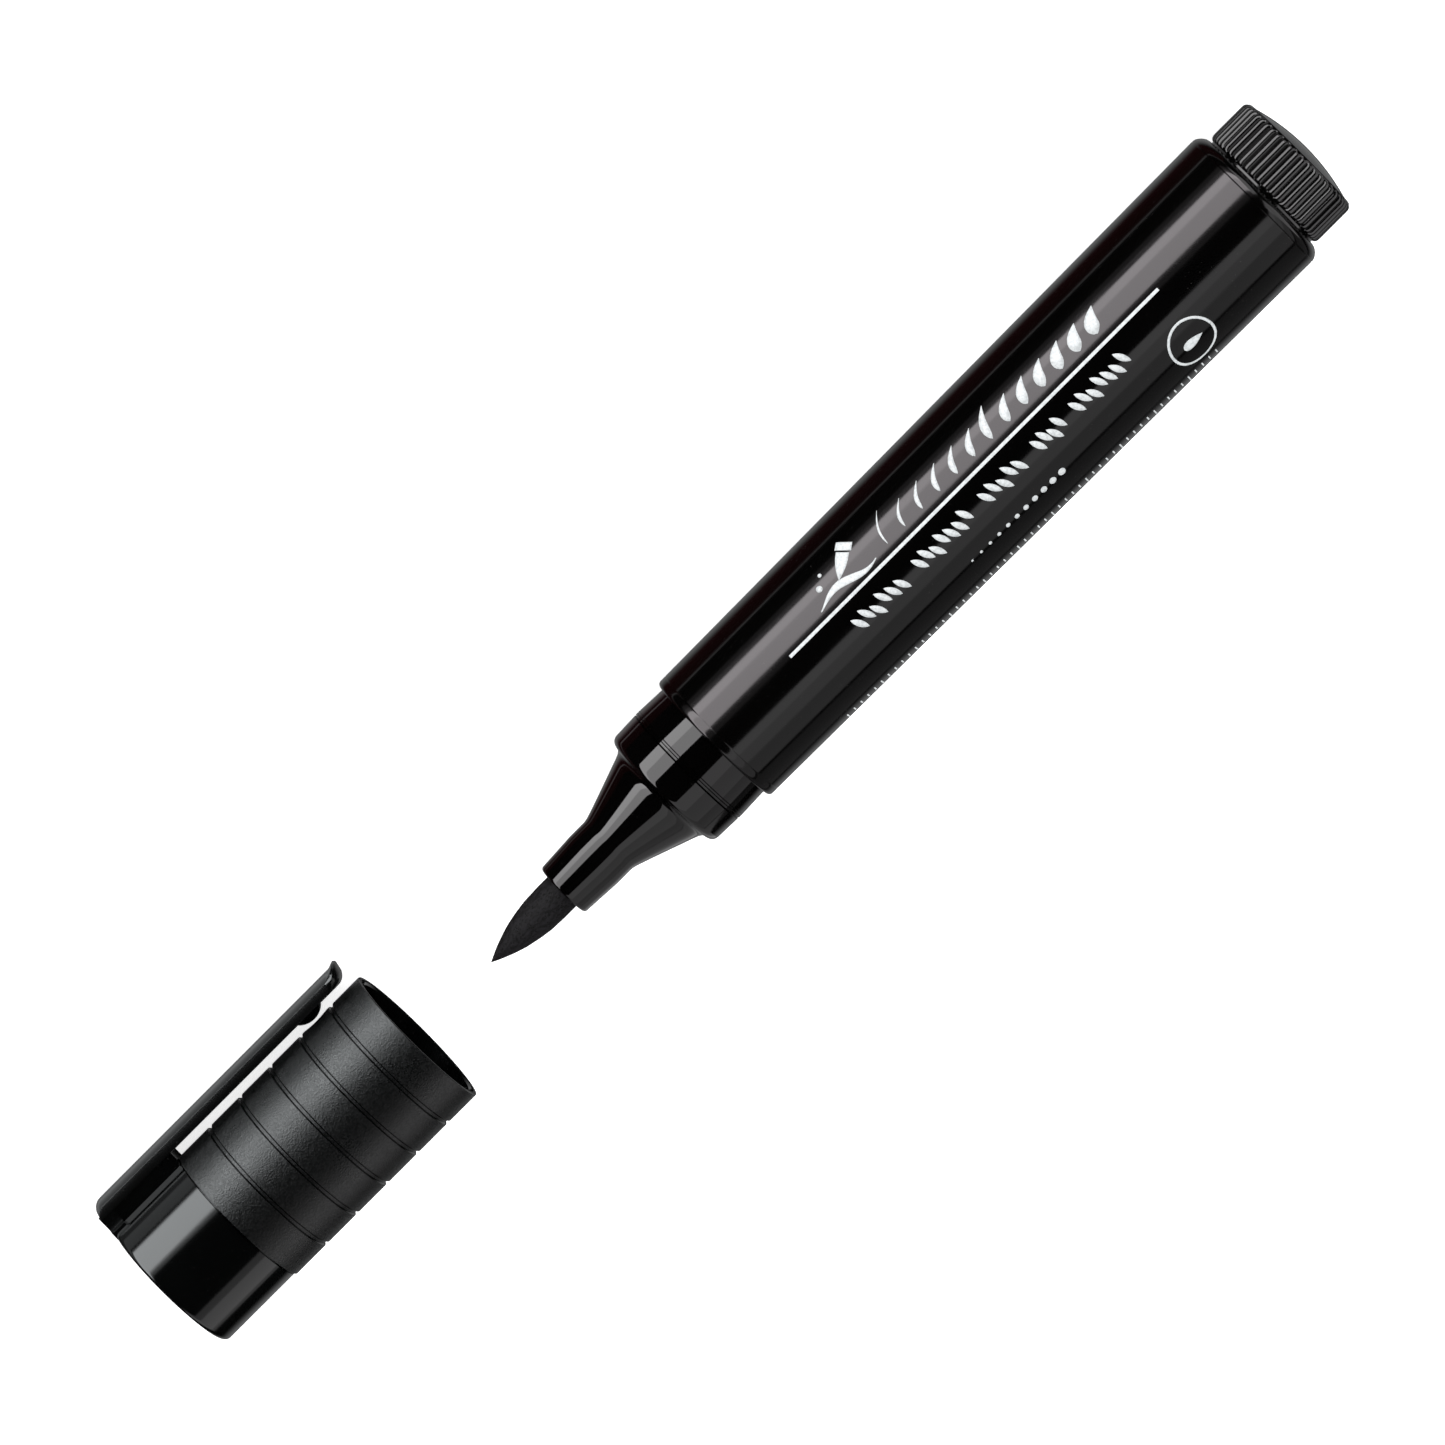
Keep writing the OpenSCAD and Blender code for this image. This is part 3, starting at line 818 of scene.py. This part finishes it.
# %% Nib picture
PICTURE_AT = (50.9, 1.2)
stroke(
    sheet,
    lambda s: (PICTURE_AT[0] + 8.0 * s, PICTURE_AT[1] + 0.55 + 0.5 * sin(tau * s - 0.6)),
    lambda s: 0.12 + 0.75 * sin(pi * s) ** 1.5,
    steps=26,
)
stroke(
    sheet,
    lambda s: (PICTURE_AT[0] + 3.6 + 2.3 * s, PICTURE_AT[1] + 1.35 + 2.0 * s),
    lambda s: 1.5 * (1 - (1 - s) ** 2.15),
    steps=16,
)
rule(sheet, (PICTURE_AT[0] + 6.05, PICTURE_AT[1] + 3.48), (PICTURE_AT[0] + 6.75, PICTURE_AT[1] + 4.1), 1.9)
dot(sheet, PICTURE_AT[0] + 1.5, PICTURE_AT[1] + 2.2, 0.36)
dot(sheet, PICTURE_AT[0] + 2.5, PICTURE_AT[1] + 3.3, 0.22)
print(f"print: {len(sheet.faces)} faces on the flat sheet")

# %% [markdown]
# Wide faces are cut finer before the sheet is wrapped, or their middles would sink into the
# barrel. Solidify then gives the ink its thickness, downwards from the outside.

# %% Wrap the print on the barrel
facing = outward.cross(Vector((1, 0, 0)))
bench_facing = Vector((0, -facing.y, facing.z))
bench_outward = Vector((0, -outward.y, outward.z))

wide = [edge for edge in sheet.edges if abs(edge.verts[0].co.y - edge.verts[1].co.y) > FINE_CUT]
bmesh.ops.subdivide_edges(sheet, edges=wide, cuts=3, use_grid_fill=True)
for vert in sheet.verts:
    radius = barrel_radius(vert.co.x) + INK_PROUD
    turn = vert.co.y / radius
    side = bench_facing * cos(turn) + bench_outward * sin(turn)
    vert.co = Vector((vert.co.x, 0, 0)) + side * radius
for face in sheet.faces:
    face.normal_update()
    middle = face.calc_center_median()
    if face.normal.dot(Vector((0, middle.y, middle.z))) < 0:
        face.normal_flip()
ink_print = put_in_place("white_print", sheet, ON_PEN, "pen")
skin = ink_print.modifiers.new("ink thickness", "SOLIDIFY")
skin.thickness = INK_THICK * MM
skin.offset = -1
ink_print.modifiers.move(len(ink_print.modifiers) - 1, 0)

# %% [markdown]
# All the plastics here are one family: black moulded resin that differs only in polish. The
# family trait is a shared node group. It gives the colour a faint cloudiness, scatters a little
# dust, and draws hairlines along the pen where it has slid in and out of its cap. A second group
# is the even grain that a textured mould leaves on satin parts. A third is felt, with packed
# fibres and pores between them. Each material then sets its own values on these groups and on its
# shader.

# %% Helpers for nodes
def put(tree, kind, inputs=None, **options):
    """Adds a node, sets its options, and fills its inputs with values or other nodes' outputs."""
    item = tree.nodes.new(kind)
    for name, value in options.items():
        setattr(item, name, value)
    for key, value in (inputs or {}).items():
        if isinstance(value, bpy.types.NodeSocket):
            tree.links.new(value, item.inputs[key])
        else:
            item.inputs[key].default_value = value
    return item


def new_group(name, inputs, outputs):
    """An empty node group with named sockets. Returns it with its input and output nodes."""
    group = bpy.data.node_groups.new(name, "ShaderNodeTree")
    for socket, kind, value in inputs:
        made_socket = group.interface.new_socket(socket, in_out="INPUT", socket_type=kind)
        made_socket.default_value = value
    for socket, kind in outputs:
        group.interface.new_socket(socket, in_out="OUTPUT", socket_type=kind)
    return group, group.nodes.new("NodeGroupInput"), group.nodes.new("NodeGroupOutput")


def sums(tree, first, second, operation="ADD"):
    """The output of a Math node on two values."""
    return put(tree, "ShaderNodeMath", {0: first, 1: second}, operation=operation).outputs[0]


def ramp(tree, value, low_edge, high_edge, low_out=0.0, high_out=1.0):
    """A smooth step of a value from one output to another."""
    inputs = {
        "Value": value, "From Min": low_edge, "From Max": high_edge, "To Min": low_out, "To Max": high_out,
    }
    return put(tree, "ShaderNodeMapRange", inputs, interpolation_type="SMOOTHSTEP").outputs["Result"]


def noise(tree, where, scale, detail, output="Fac", **more):
    """A noise texture's output over the given coordinates."""
    inputs = {"Vector": where, "Scale": scale, "Detail": detail, **more}
    return put(tree, "ShaderNodeTexNoise", inputs).outputs[output]


def mix_colours(tree, share, first, second):
    """A mix of two colours, each a value or another node's output."""
    inputs = {"Factor": share, 6: first, 7: second}
    return put(tree, "ShaderNodeMix", inputs, data_type="RGBA").outputs[2]


def object_place(tree):
    """The place on the object, in metres."""
    return put(tree, "ShaderNodeTexCoord").outputs["Object"]


# %% Group: moulded skin
NUMBER = "NodeSocketFloat"
COLOUR = "NodeSocketColor"

skin_group, start, end = new_group(
    "Moulded skin",
    [("Colour", COLOUR, (0.01, 0.01, 0.01, 1)), ("Roughness", NUMBER, 0.1), ("Hairlines", NUMBER, 0.05),
     ("Dust", NUMBER, 0.2)],
    [("Colour", COLOUR), ("Roughness", NUMBER), ("Height", NUMBER)],
)
DUST_COLOUR = (0.12, 0.115, 0.11, 1)

where = object_place(skin_group)
cloud = noise(skin_group, where, 130, 3)
lines_at = put(skin_group, "ShaderNodeMapping", {"Vector": where, "Scale": (45, 2600, 2600)}).outputs[0]
hairline = ramp(skin_group, noise(skin_group, lines_at, 1, 2), 0.66, 0.74)
specks = ramp(skin_group, noise(skin_group, where, 4200, 1), 0.72, 0.76)
patches = ramp(skin_group, noise(skin_group, where, 260, 2), 0.45, 0.7)
speck = sums(skin_group, specks, patches, "MULTIPLY")
dust = sums(skin_group, speck, start.outputs["Dust"], "MULTIPLY")
cloud_shade = ramp(skin_group, cloud, 0.3, 0.7, 0.0, 0.45)
shaded = mix_colours(skin_group, cloud_shade, start.outputs["Colour"], (0, 0, 0, 1))
dusted = mix_colours(skin_group, dust, shaded, DUST_COLOUR)
scratch = sums(skin_group, hairline, start.outputs["Hairlines"], "MULTIPLY")
rough = sums(skin_group, start.outputs["Roughness"], ramp(skin_group, cloud, 0.3, 0.7, -0.015, 0.02))
rough = sums(skin_group, rough, scratch)
rough = sums(skin_group, rough, sums(skin_group, dust, 0.3, "MULTIPLY"))
height = sums(skin_group, sums(skin_group, cloud, 0.6, "MULTIPLY"), scratch, "SUBTRACT")
skin_group.links.new(dusted, end.inputs["Colour"])
skin_group.links.new(rough, end.inputs["Roughness"])
skin_group.links.new(height, end.inputs["Height"])
print("group:", skin_group.name)

# %% Group: mould grain
grain_group, start, end = new_group(
    "Mould grain",
    [("Grains per metre", NUMBER, 6000), ("Unevenness", NUMBER, 0.3)],
    [("Height", NUMBER), ("Glint", NUMBER)],
)
where = object_place(grain_group)
grains = noise(grain_group, where, start.outputs["Grains per metre"], 2, Roughness=0.6)
broad = noise(grain_group, where, 900, 2)
uneven = sums(grain_group, broad, start.outputs["Unevenness"], "MULTIPLY")
grain_group.links.new(sums(grain_group, grains, uneven), end.inputs["Height"])
grain_group.links.new(ramp(grain_group, grains, 0.35, 0.65), end.inputs["Glint"])
print("group:", grain_group.name)

# %% Group: felt fibres
felt_group, start, end = new_group(
    "Felt fibres",
    [("Colour", COLOUR, (0.03, 0.03, 0.03, 1)), ("Pore colour", COLOUR, (0.01, 0.01, 0.01, 1)),
     ("Fibres per metre", NUMBER, 5000)],
    [("Colour", COLOUR), ("Height", NUMBER), ("Fuzz", NUMBER)],
)
where = object_place(felt_group)
bent = noise(felt_group, where, 700, 1, output="Color")
drift = put(felt_group, "ShaderNodeVectorMath", {0: bent, "Scale": 0.0009}, operation="SCALE").outputs[0]
moved_where = put(felt_group, "ShaderNodeVectorMath", {0: where, 1: drift}, operation="ADD").outputs[0]
laid = put(felt_group, "ShaderNodeMapping", {"Vector": moved_where, "Scale": (0.35, 1, 1)}).outputs[0]
fibres = noise(felt_group, laid, start.outputs["Fibres per metre"], 3, Roughness=0.65)
cells = put(felt_group, "ShaderNodeTexVoronoi", {"Vector": moved_where, "Scale": 3300}, feature="F1")
pore = ramp(felt_group, cells.outputs["Distance"], 0.1, 0.42)
fibre_share = sums(felt_group, pore, ramp(felt_group, fibres, 0.3, 0.7), "MULTIPLY")
mixed = mix_colours(felt_group, fibre_share, start.outputs["Pore colour"], start.outputs["Colour"])
felt_height = sums(felt_group, fibres, sums(felt_group, pore, 0.6, "MULTIPLY"))
felt_group.links.new(mixed, end.inputs["Colour"])
felt_group.links.new(felt_height, end.inputs["Height"])
felt_group.links.new(ramp(felt_group, fibres, 0.4, 0.75), end.inputs["Fuzz"])
print("group:", felt_group.name)

# %% [markdown]
# One function makes every moulded plastic. A polished part has low roughness and hardly any
# grain. A satin part has a deeper grain, and its roughness spreads the studio's lights into the
# soft bands that are seen on the sleeve.

# %% Moulded plastics
def new_material(name):
    """An empty node material with its Principled shader and output."""
    material = bpy.data.materials.new(name)
    material.use_nodes = True
    shader = material.node_tree.nodes["Principled BSDF"]
    return material, material.node_tree, shader


def use_group(tree, group, inputs):
    """Places a node group in a material."""
    item = put(tree, "ShaderNodeGroup", node_tree=group)
    for name, value in inputs.items():
        item.inputs[name].default_value = value
    return item


def coat(piece, material):
    """Gives a piece one material."""
    piece.data.materials.clear()
    piece.data.materials.append(material)


def bump(tree, height, depth, strength=1.0, below=None):
    """The normal of a bump of the given depth in metres, over another bump if there is one."""
    inputs = {"Height": height, "Distance": depth, "Strength": strength}
    if below:
        inputs["Normal"] = below
    return put(tree, "ShaderNodeBump", inputs).outputs["Normal"]


def moulded_plastic(name, colour, roughness, hairlines, dust, grain_depth, grains=6000):
    """Black moulded resin: the shared skin, with the mould's grain pressed into it."""
    material, tree, shader = new_material(name)
    skin_node = use_group(
        tree, skin_group,
        {"Colour": (*colour, 1), "Roughness": roughness, "Hairlines": hairlines, "Dust": dust},
    )
    grain_node = use_group(tree, grain_group, {"Grains per metre": grains, "Unevenness": 0.3})
    skin_bump = bump(tree, skin_node.outputs["Height"], SKIN_DEPTH * MM, 0.25)
    grain_bump = bump(tree, grain_node.outputs["Height"], grain_depth * MM, below=skin_bump)
    tree.links.new(skin_node.outputs["Colour"], shader.inputs["Base Color"])
    tree.links.new(skin_node.outputs["Roughness"], shader.inputs["Roughness"])
    tree.links.new(grain_bump, shader.inputs["Normal"])
    return material


SKIN_DEPTH = 0.012
BLACK = (0.0007, 0.0006, 0.0006)
WARM_BLACK = (0.0016, 0.0015, 0.0015)
COOL_BLACK = (0.0010, 0.0012, 0.0012)
finishes = {
    "polished_barrel": moulded_plastic("polished_barrel", BLACK, 0.11, 0.05, 0.15, 0.0003),
    "polished_front": moulded_plastic("polished_front", BLACK, 0.05, 0.04, 0.1, 0.0002),
    "ribbed_plug": moulded_plastic("ribbed_plug", WARM_BLACK, 0.12, 0.04, 0.25, 0.0008, 7000),
    "polished_cap": moulded_plastic("polished_cap", COOL_BLACK, 0.11, 0.05, 0.15, 0.0003),
    "satin_clip": moulded_plastic("satin_clip", (0.0014, 0.0015, 0.0015), 0.2, 0.05, 0.15, 0.0008),
    "soft_liner": moulded_plastic("soft_liner", (0.010, 0.011, 0.012), 0.5, 0.02, 0.1, 0.003, 4000),
}
for piece, finish in (
    (barrel, "polished_barrel"), (front, "polished_front"), (plug, "ribbed_plug"),
    (cap_body, "polished_cap"), (clip, "satin_clip"),
    (frame["nodes"]["inner_cap"], "soft_liner"),
):
    coat(piece, finishes[finish])
print("plastics:", ", ".join(sorted(finishes)))

# %% [markdown]
# The sleeve's satin is an eroded texture in the mould. It takes on the bands and on the floors of
# the grooves, but the grooves' steep walls come out smooth, so they look black. How far a point
# lies from the cap's axis tells which it is. That distance becomes a mask, which sets the
# roughness and the grain.

# %% Satin sleeve
SATIN = 0.4
GROOVE_SHINE = 0.16
GRAIN_DEPTH = 0.055
SLEEVE_BLACK = (0.0018, 0.0022, 0.0023)

satin, tree, shader = new_material("satin_sleeve")
to_axis = {"Vector": object_place(tree), "Location": (0, -axis_y, -axis_z), "Scale": (0, 1, 1)}
centred = put(tree, "ShaderNodeMapping", to_axis)
distance = put(tree, "ShaderNodeVectorMath", {0: centred.outputs[0]}, operation="LENGTH").outputs["Value"]
above_wall = ramp(tree, distance, (sleeve_r - 0.05) * MM, (sleeve_r - 0.015) * MM)
floor_r = sleeve_r - GROOVE_DEPTH
below_wall = ramp(tree, distance, (floor_r + 0.01) * MM, (floor_r + 0.04) * MM, 1, 0)
band = sums(tree, above_wall, below_wall, "MAXIMUM")
skin_node = use_group(
    tree, skin_group,
    {"Colour": (*SLEEVE_BLACK, 1), "Roughness": SATIN, "Hairlines": 0.03, "Dust": 0.1},
)
grain_node = use_group(tree, grain_group, {"Grains per metre": 5200, "Unevenness": 0.05})
shine = put(tree, "ShaderNodeMix", {0: band, 2: GROOVE_SHINE, 3: skin_node.outputs["Roughness"]})
glinting = sums(tree, shine.outputs[0], ramp(tree, grain_node.outputs["Glint"], 0, 1, 0.07, -0.12))
relief = sums(tree, grain_node.outputs["Height"], band, "MULTIPLY")
tree.links.new(skin_node.outputs["Colour"], shader.inputs["Base Color"])
tree.links.new(glinting, shader.inputs["Roughness"])
tree.links.new(bump(tree, relief, GRAIN_DEPTH * MM), shader.inputs["Normal"])
coat(sleeve, satin)

# %% [markdown]
# Felt is matt, so its shader reflects little and gets a bump from the fibres and pores. The
# hidden core is the same stuff, packed looser and wet with ink.

# %% Felt and fibre
FELT_DEPTH = 0.05
FELT_GLOSS = 0.12


def felt(name, colour, pore_colour, fibres):
    """Pressed fibre with pores, from the shared felt group."""
    material, tree, shader = new_material(name)
    felt_node = use_group(
        tree, felt_group,
        {"Colour": (*colour, 1), "Pore colour": (*pore_colour, 1), "Fibres per metre": fibres},
    )
    relief = bump(tree, felt_node.outputs["Height"], FELT_DEPTH * MM)
    tree.links.new(felt_node.outputs["Colour"], shader.inputs["Base Color"])
    tree.links.new(relief, shader.inputs["Normal"])
    tree.links.new(ramp(tree, felt_node.outputs["Fuzz"], 0, 1, 0.62, 0.85), shader.inputs["Roughness"])
    shader.inputs["Specular IOR Level"].default_value = FELT_GLOSS
    return material


coat(nib, felt("black_felt", (0.0115, 0.0105, 0.0125), (0.002, 0.002, 0.002), 4200))
coat(frame["nodes"]["ink_core"], felt("soaked_core", (0.035, 0.034, 0.045), (0.008, 0.008, 0.012), 2600))

# %% [markdown]
# White ink lies a little uneven, so its colour and roughness drift slightly. The film round the
# core is thin clear plastic with faint wrinkles.

# %% White ink and clear film
WRINKLE_DEPTH = 0.04

ink_material, tree, shader = new_material("white_ink")
cover = noise(tree, object_place(tree), 3500, 3)
tone = mix_colours(tree, ramp(tree, cover, 0.35, 0.6), (0.52, 0.55, 0.56, 1), (0.66, 0.69, 0.70, 1))
tree.links.new(tone, shader.inputs["Base Color"])
tree.links.new(ramp(tree, cover, 0.3, 0.7, 0.45, 0.65), shader.inputs["Roughness"])
coat(ink_print, ink_material)

film_material, tree, shader = new_material("clear_film")
stretched = put(tree, "ShaderNodeMapping", {"Vector": object_place(tree), "Scale": (60, 700, 700)})
wrinkles = noise(tree, stretched.outputs[0], 1, 3)
tone = mix_colours(tree, ramp(tree, wrinkles, 0.3, 0.7), (0.52, 0.54, 0.57, 1), (0.64, 0.66, 0.68, 1))
tree.links.new(tone, shader.inputs["Base Color"])
tree.links.new(ramp(tree, wrinkles, 0.3, 0.7, 0.18, 0.3), shader.inputs["Roughness"])
tree.links.new(bump(tree, wrinkles, WRINKLE_DEPTH * MM, 0.6), shader.inputs["Normal"])
coat(frame["nodes"]["core_film"], film_material)
print("materials:", len(bpy.data.materials))

# %% [markdown]
# The camera looks down on the pen so that the clip lies in outline and the print faces it. It
# stands about a metre away, over the rear half of the barrel, so the tail is seen square from
# the side while the cap's mouth opens a little. The whole view is rolled by 45 degrees, so the
# pen runs from the lower left to the upper right.

# %% Camera
CAMERA_DISTANCE = 0.985
VIEW_WIDTH = 151.3 * MM
TAIL_TURN = radians(3.28)
SENSOR = 36.0
LOOK_AT_PLACE = 35.05
LOOK_AT_OUT = 0.63

tailward = Vector((-1, 0, 0))
axis_point = Vector((tip_x, axis_y, axis_z))
toward_camera = facing * cos(TAIL_TURN) + tailward * sin(TAIL_TURN)
tail_seen = (tailward - toward_camera * tailward.dot(toward_camera)).normalized()
image_up = (tail_seen + outward).normalized()
image_right = (tail_seen - outward).normalized()
target = axis_point + tailward * LOOK_AT_PLACE * MM + outward * LOOK_AT_OUT * MM

camera_data = bpy.data.cameras.new("camera")
camera_data.sensor_width = SENSOR
camera_data.lens = SENSOR * CAMERA_DISTANCE / VIEW_WIDTH
camera = show("camera", camera_data)
turned = Matrix((image_right, image_up, toward_camera)).transposed()
camera.matrix_world = Matrix.Translation(target + toward_camera * CAMERA_DISTANCE) @ turned.to_4x4()
bpy.context.scene.camera = camera
bpy.context.scene.view_settings.view_transform = "Standard"
print(f"lens {camera_data.lens:.0f} mm")

# %% [markdown]
# Black gloss shows only what it reflects, so the studio is made of long strip lights that run
# beside the pen. A light's place round the axis decides where its strip lies on the barrel: a
# surface turned by some angle shows what lies at twice that angle. So each strip is given by the
# two turns between which it is seen. Soft strips are stacks of a few wide and narrow ones, each a
# little farther off than the last, because overlapping lights in one plane don't add up.
#
# The pen and the cap are lit by strips of their own, through light linking, as each would be
# flagged off by hand in a studio. Two more strips lie behind the tail, for the barrel's shoulder
# and the plug's rim, and a short one ahead of the ring is seen only by the nose and the flare.
# The strips show only in gloss. Matt surfaces, the print and the floor are lit by the pale
# surroundings and one large soft light.

# %% Strip lights
STRIP_DISTANCE = 0.35
STRIP_SPACING = 0.003
LONG_STRIP = (-0.55, 0.95)
BEHIND_TAIL = (-1.9, LONG_STRIP[0])
AHEAD_OF_RING = (0.046, LONG_STRIP[1])


def lit_together(name, pieces):
    """A collection of pieces that share their strip lights."""
    group = bpy.data.collections.new(name)
    for piece in pieces:
        group.objects.link(piece)
    return group


def strip_light(name, turns, radiance, tint, receivers, distance, ends=LONG_STRIP):
    """A long rectangular light, seen on a cylinder between two turns from the camera's side."""
    first, last = (radians(turn) for turn in turns)
    middle = (first + last) / 2
    out = facing * cos(middle) + outward * sin(middle)
    length = ends[1] - ends[0]
    breadth = 2 * distance * tan((last - first) / 2)
    data = bpy.data.lights.new(name, "AREA")
    data.shape = "RECTANGLE"
    data.size = length
    data.size_y = breadth
    data.energy = radiance * pi * length * breadth
    data.color = tint
    lamp = show(name, data)
    along_pen = Vector((1, 0, 0))
    middle_point = Vector((sum(ends) / 2, axis_y, axis_z)) + out * distance
    turned = Matrix((along_pen, out.cross(along_pen), out)).transposed().to_4x4()
    lamp.matrix_world = Matrix.Translation(middle_point) @ turned
    lamp.visible_diffuse = False
    lamp.visible_camera = False
    lamp.visible_transmission = False
    lamp.light_linking.receiver_collection = receivers
    return lamp


MAUVE = (1.03, 0.97, 1.0)
NEUTRAL = (1.0, 0.99, 1.0)
COOL = (0.96, 1.0, 1.015)
RED = (1.0, 0.12, 0.16)
barrel_pieces = lit_together("barrel lighting", [barrel, ink_print])
plug_pieces = lit_together("plug lighting", [plug])
front_pieces = lit_together("front lighting", [front, nib])
cap_pieces = lit_together("cap lighting", [cap_body, sleeve, frame["nodes"]["inner_cap"]])
clip_pieces = lit_together("clip lighting", [clip])
strips = (
    ("barrel key", (16.6, 55), 3.9, MAUVE, barrel_pieces),
    ("barrel key soft", (13, 62), 0.3, MAUVE, barrel_pieces),
    ("barrel key wide", (5, 69), 0.17, MAUVE, barrel_pieces),
    ("barrel key crest", (41.5, 54), 1.5, MAUVE, barrel_pieces),
    ("barrel thin line", (96.5, 99.5), 0.45, NEUTRAL, barrel_pieces),
    ("barrel far side", (99.5, 136), 0.04, RED, barrel_pieces),
    ("barrel fill", (-86, -28.6), 0.45, NEUTRAL, barrel_pieces),
    ("barrel fill near", (-60, -28.6), 0.3, NEUTRAL, barrel_pieces),
    ("barrel fill crest", (-42, -28.6), 0.25, NEUTRAL, barrel_pieces),
    ("barrel low fill", (-128, -91), 0.13, NEUTRAL, barrel_pieces),
    ("plug key", (12, 62), 5.4, NEUTRAL, plug_pieces),
    ("plug fill", (-95, -34), 1.7, NEUTRAL, plug_pieces),
    ("plug far side", (95, 140), 0.35, NEUTRAL, plug_pieces),
    ("front key", (18.5, 58), 3.9, NEUTRAL, front_pieces),
    ("front key crest", (40, 58), 1.9, NEUTRAL, front_pieces),
    ("front thin line", (120, 124), 0.35, NEUTRAL, front_pieces),
    ("front far side", (99.5, 150), 0.04, RED, front_pieces),
    ("front fill", (-102, -28), 0.45, NEUTRAL, front_pieces),
    ("front fill near", (-80, -28), 0.25, NEUTRAL, front_pieces),
    ("front fill crest", (-50, -28), 0.3, NEUTRAL, front_pieces),
    ("front low fill", (-116, -102), 0.06, NEUTRAL, front_pieces),
    ("cap key wide", (24, 74), 0.8, COOL, cap_pieces),
    ("cap key", (29, 72), 2.2, COOL, cap_pieces),
    ("cap key narrow", (32, 71), 3.2, COOL, cap_pieces),
    ("cap side fill", (78, 101), 0.6, COOL, cap_pieces),
    ("cap far side fill", (101, 124), 0.15, COOL, cap_pieces),
    ("cap low fill", (-106, -60), 0.5, NEUTRAL, cap_pieces),
    ("cap low fill crest", (-100, -72), 0.6, NEUTRAL, cap_pieces),
    ("clip key", (20, 72), 7.5, COOL, clip_pieces),
    ("clip back", (112, 150), 0.45, COOL, clip_pieces),
    ("clip low fill", (-120, -60), 0.8, NEUTRAL, clip_pieces),
)
for number, strip in enumerate(strips):
    strip_light(*strip, distance=STRIP_DISTANCE + STRIP_SPACING * number)
kicker = ("nose kicker", (-155, -103), 0.42, NEUTRAL, front_pieces)
strip_light(*kicker, distance=STRIP_DISTANCE, ends=AHEAD_OF_RING)
tail_pieces = lit_together("tail lighting", [barrel, plug])
tail_strips = (
    ("tail key", (8, 80), 1.6, NEUTRAL, tail_pieces),
    ("tail fill", (-120, -20), 1.2, NEUTRAL, tail_pieces),
)
for number, strip in enumerate(tail_strips):
    strip_light(*strip, distance=STRIP_DISTANCE + STRIP_SPACING * number, ends=BEHIND_TAIL)
print("strip lights:", len(strips) + len(tail_strips) + 1)

# %% [markdown]
# The surroundings are white to the camera and to matt surfaces. Gloss sees them as dark, with a
# pale card far below the pen that brightens the outlines at grazing angles, with a hole straight
# below so that end faces stay dark. The world is left out of direct light sampling, so that each
# kind of ray sees its own surroundings.
#
# The floor is a pale sheet that gloss doesn't see. It glows a little, like a sheet lit from
# behind, so the shadows on it stay faint.

# %% Surroundings and floor
PALE = 1.15
DARK = 0.006
CARD = 0.3
CARD_STARTS = -0.62
CARD_FULL = -0.86
CARD_HOLE = -0.985
HOLE_EDGE = 0.01
CARD_TINT = (0.98, 0.99, 1, 1)
FLOOR_SIZE = 8.0
FLOOR_GLOW = 0.85
SOFT_SIZE = 0.9
SOFT_POWER = 2.2
SOFT_DISTANCE = 1.1

world = bpy.data.worlds.new("studio")
bpy.context.scene.world = world
world.use_nodes = True
world.cycles.sampling_method = "NONE"
tree = world.node_tree
tree.nodes.clear()
direction = put(tree, "ShaderNodeTexCoord").outputs["Generated"]
view_share = put(tree, "ShaderNodeVectorMath", {0: direction, 1: facing}, operation="DOT_PRODUCT")
forward = view_share.outputs["Value"]
card = ramp(tree, forward, CARD_FULL, CARD_STARTS, CARD, DARK)
card = sums(tree, card, ramp(tree, forward, CARD_HOLE, CARD_HOLE + HOLE_EDGE), "MULTIPLY")
gloss_view = put(tree, "ShaderNodeBackground", {"Color": CARD_TINT, "Strength": card}).outputs[0]
pale_view = put(tree, "ShaderNodeBackground", {"Color": (1, 1, 1, 1), "Strength": PALE}).outputs[0]
is_gloss = put(tree, "ShaderNodeLightPath").outputs["Is Glossy Ray"]
blend = put(tree, "ShaderNodeMixShader", {0: is_gloss, 1: pale_view, 2: gloss_view}).outputs[0]
put(tree, "ShaderNodeOutputWorld", {"Surface": blend})

floor_shape = bmesh.new()
bmesh.ops.create_grid(floor_shape, x_segments=1, y_segments=1, size=FLOOR_SIZE / 2)
bmesh.ops.translate(floor_shape, vec=(0, 0, cad_box[0].z), verts=floor_shape.verts)
floor = show_shape("floor", floor_shape)
floor.visible_glossy = False
floor_material, tree, shader = new_material("pale_floor")
fleck = noise(tree, object_place(tree), 900, 2)
tone = mix_colours(tree, fleck, (0.87, 0.87, 0.87, 1), (0.89, 0.89, 0.89, 1))
tree.links.new(tone, shader.inputs["Base Color"])
tree.links.new(tone, shader.inputs["Emission Color"])
shader.inputs["Emission Strength"].default_value = FLOOR_GLOW
shader.inputs["Roughness"].default_value = 0.9
shader.inputs["Specular IOR Level"].default_value = 0.0
coat(floor, floor_material)

soft_data = bpy.data.lights.new("soft light", "AREA")
soft_data.size = SOFT_SIZE
soft_data.energy = SOFT_POWER
soft = show("soft light", soft_data)
soft_from = (facing * 0.8 + outward * 0.45 + Vector((-0.15, 0, 0.3))).normalized()
soft_turn = soft_from.to_track_quat("Z", "Y").to_matrix().to_4x4()
soft.matrix_world = Matrix.Translation(axis_point + soft_from * SOFT_DISTANCE) @ soft_turn
soft.visible_glossy = False
print("floor and surroundings are in place")

# %% [markdown]
# The last cell brings the scene up to date.

# %% Finish
bpy.context.view_layer.update()
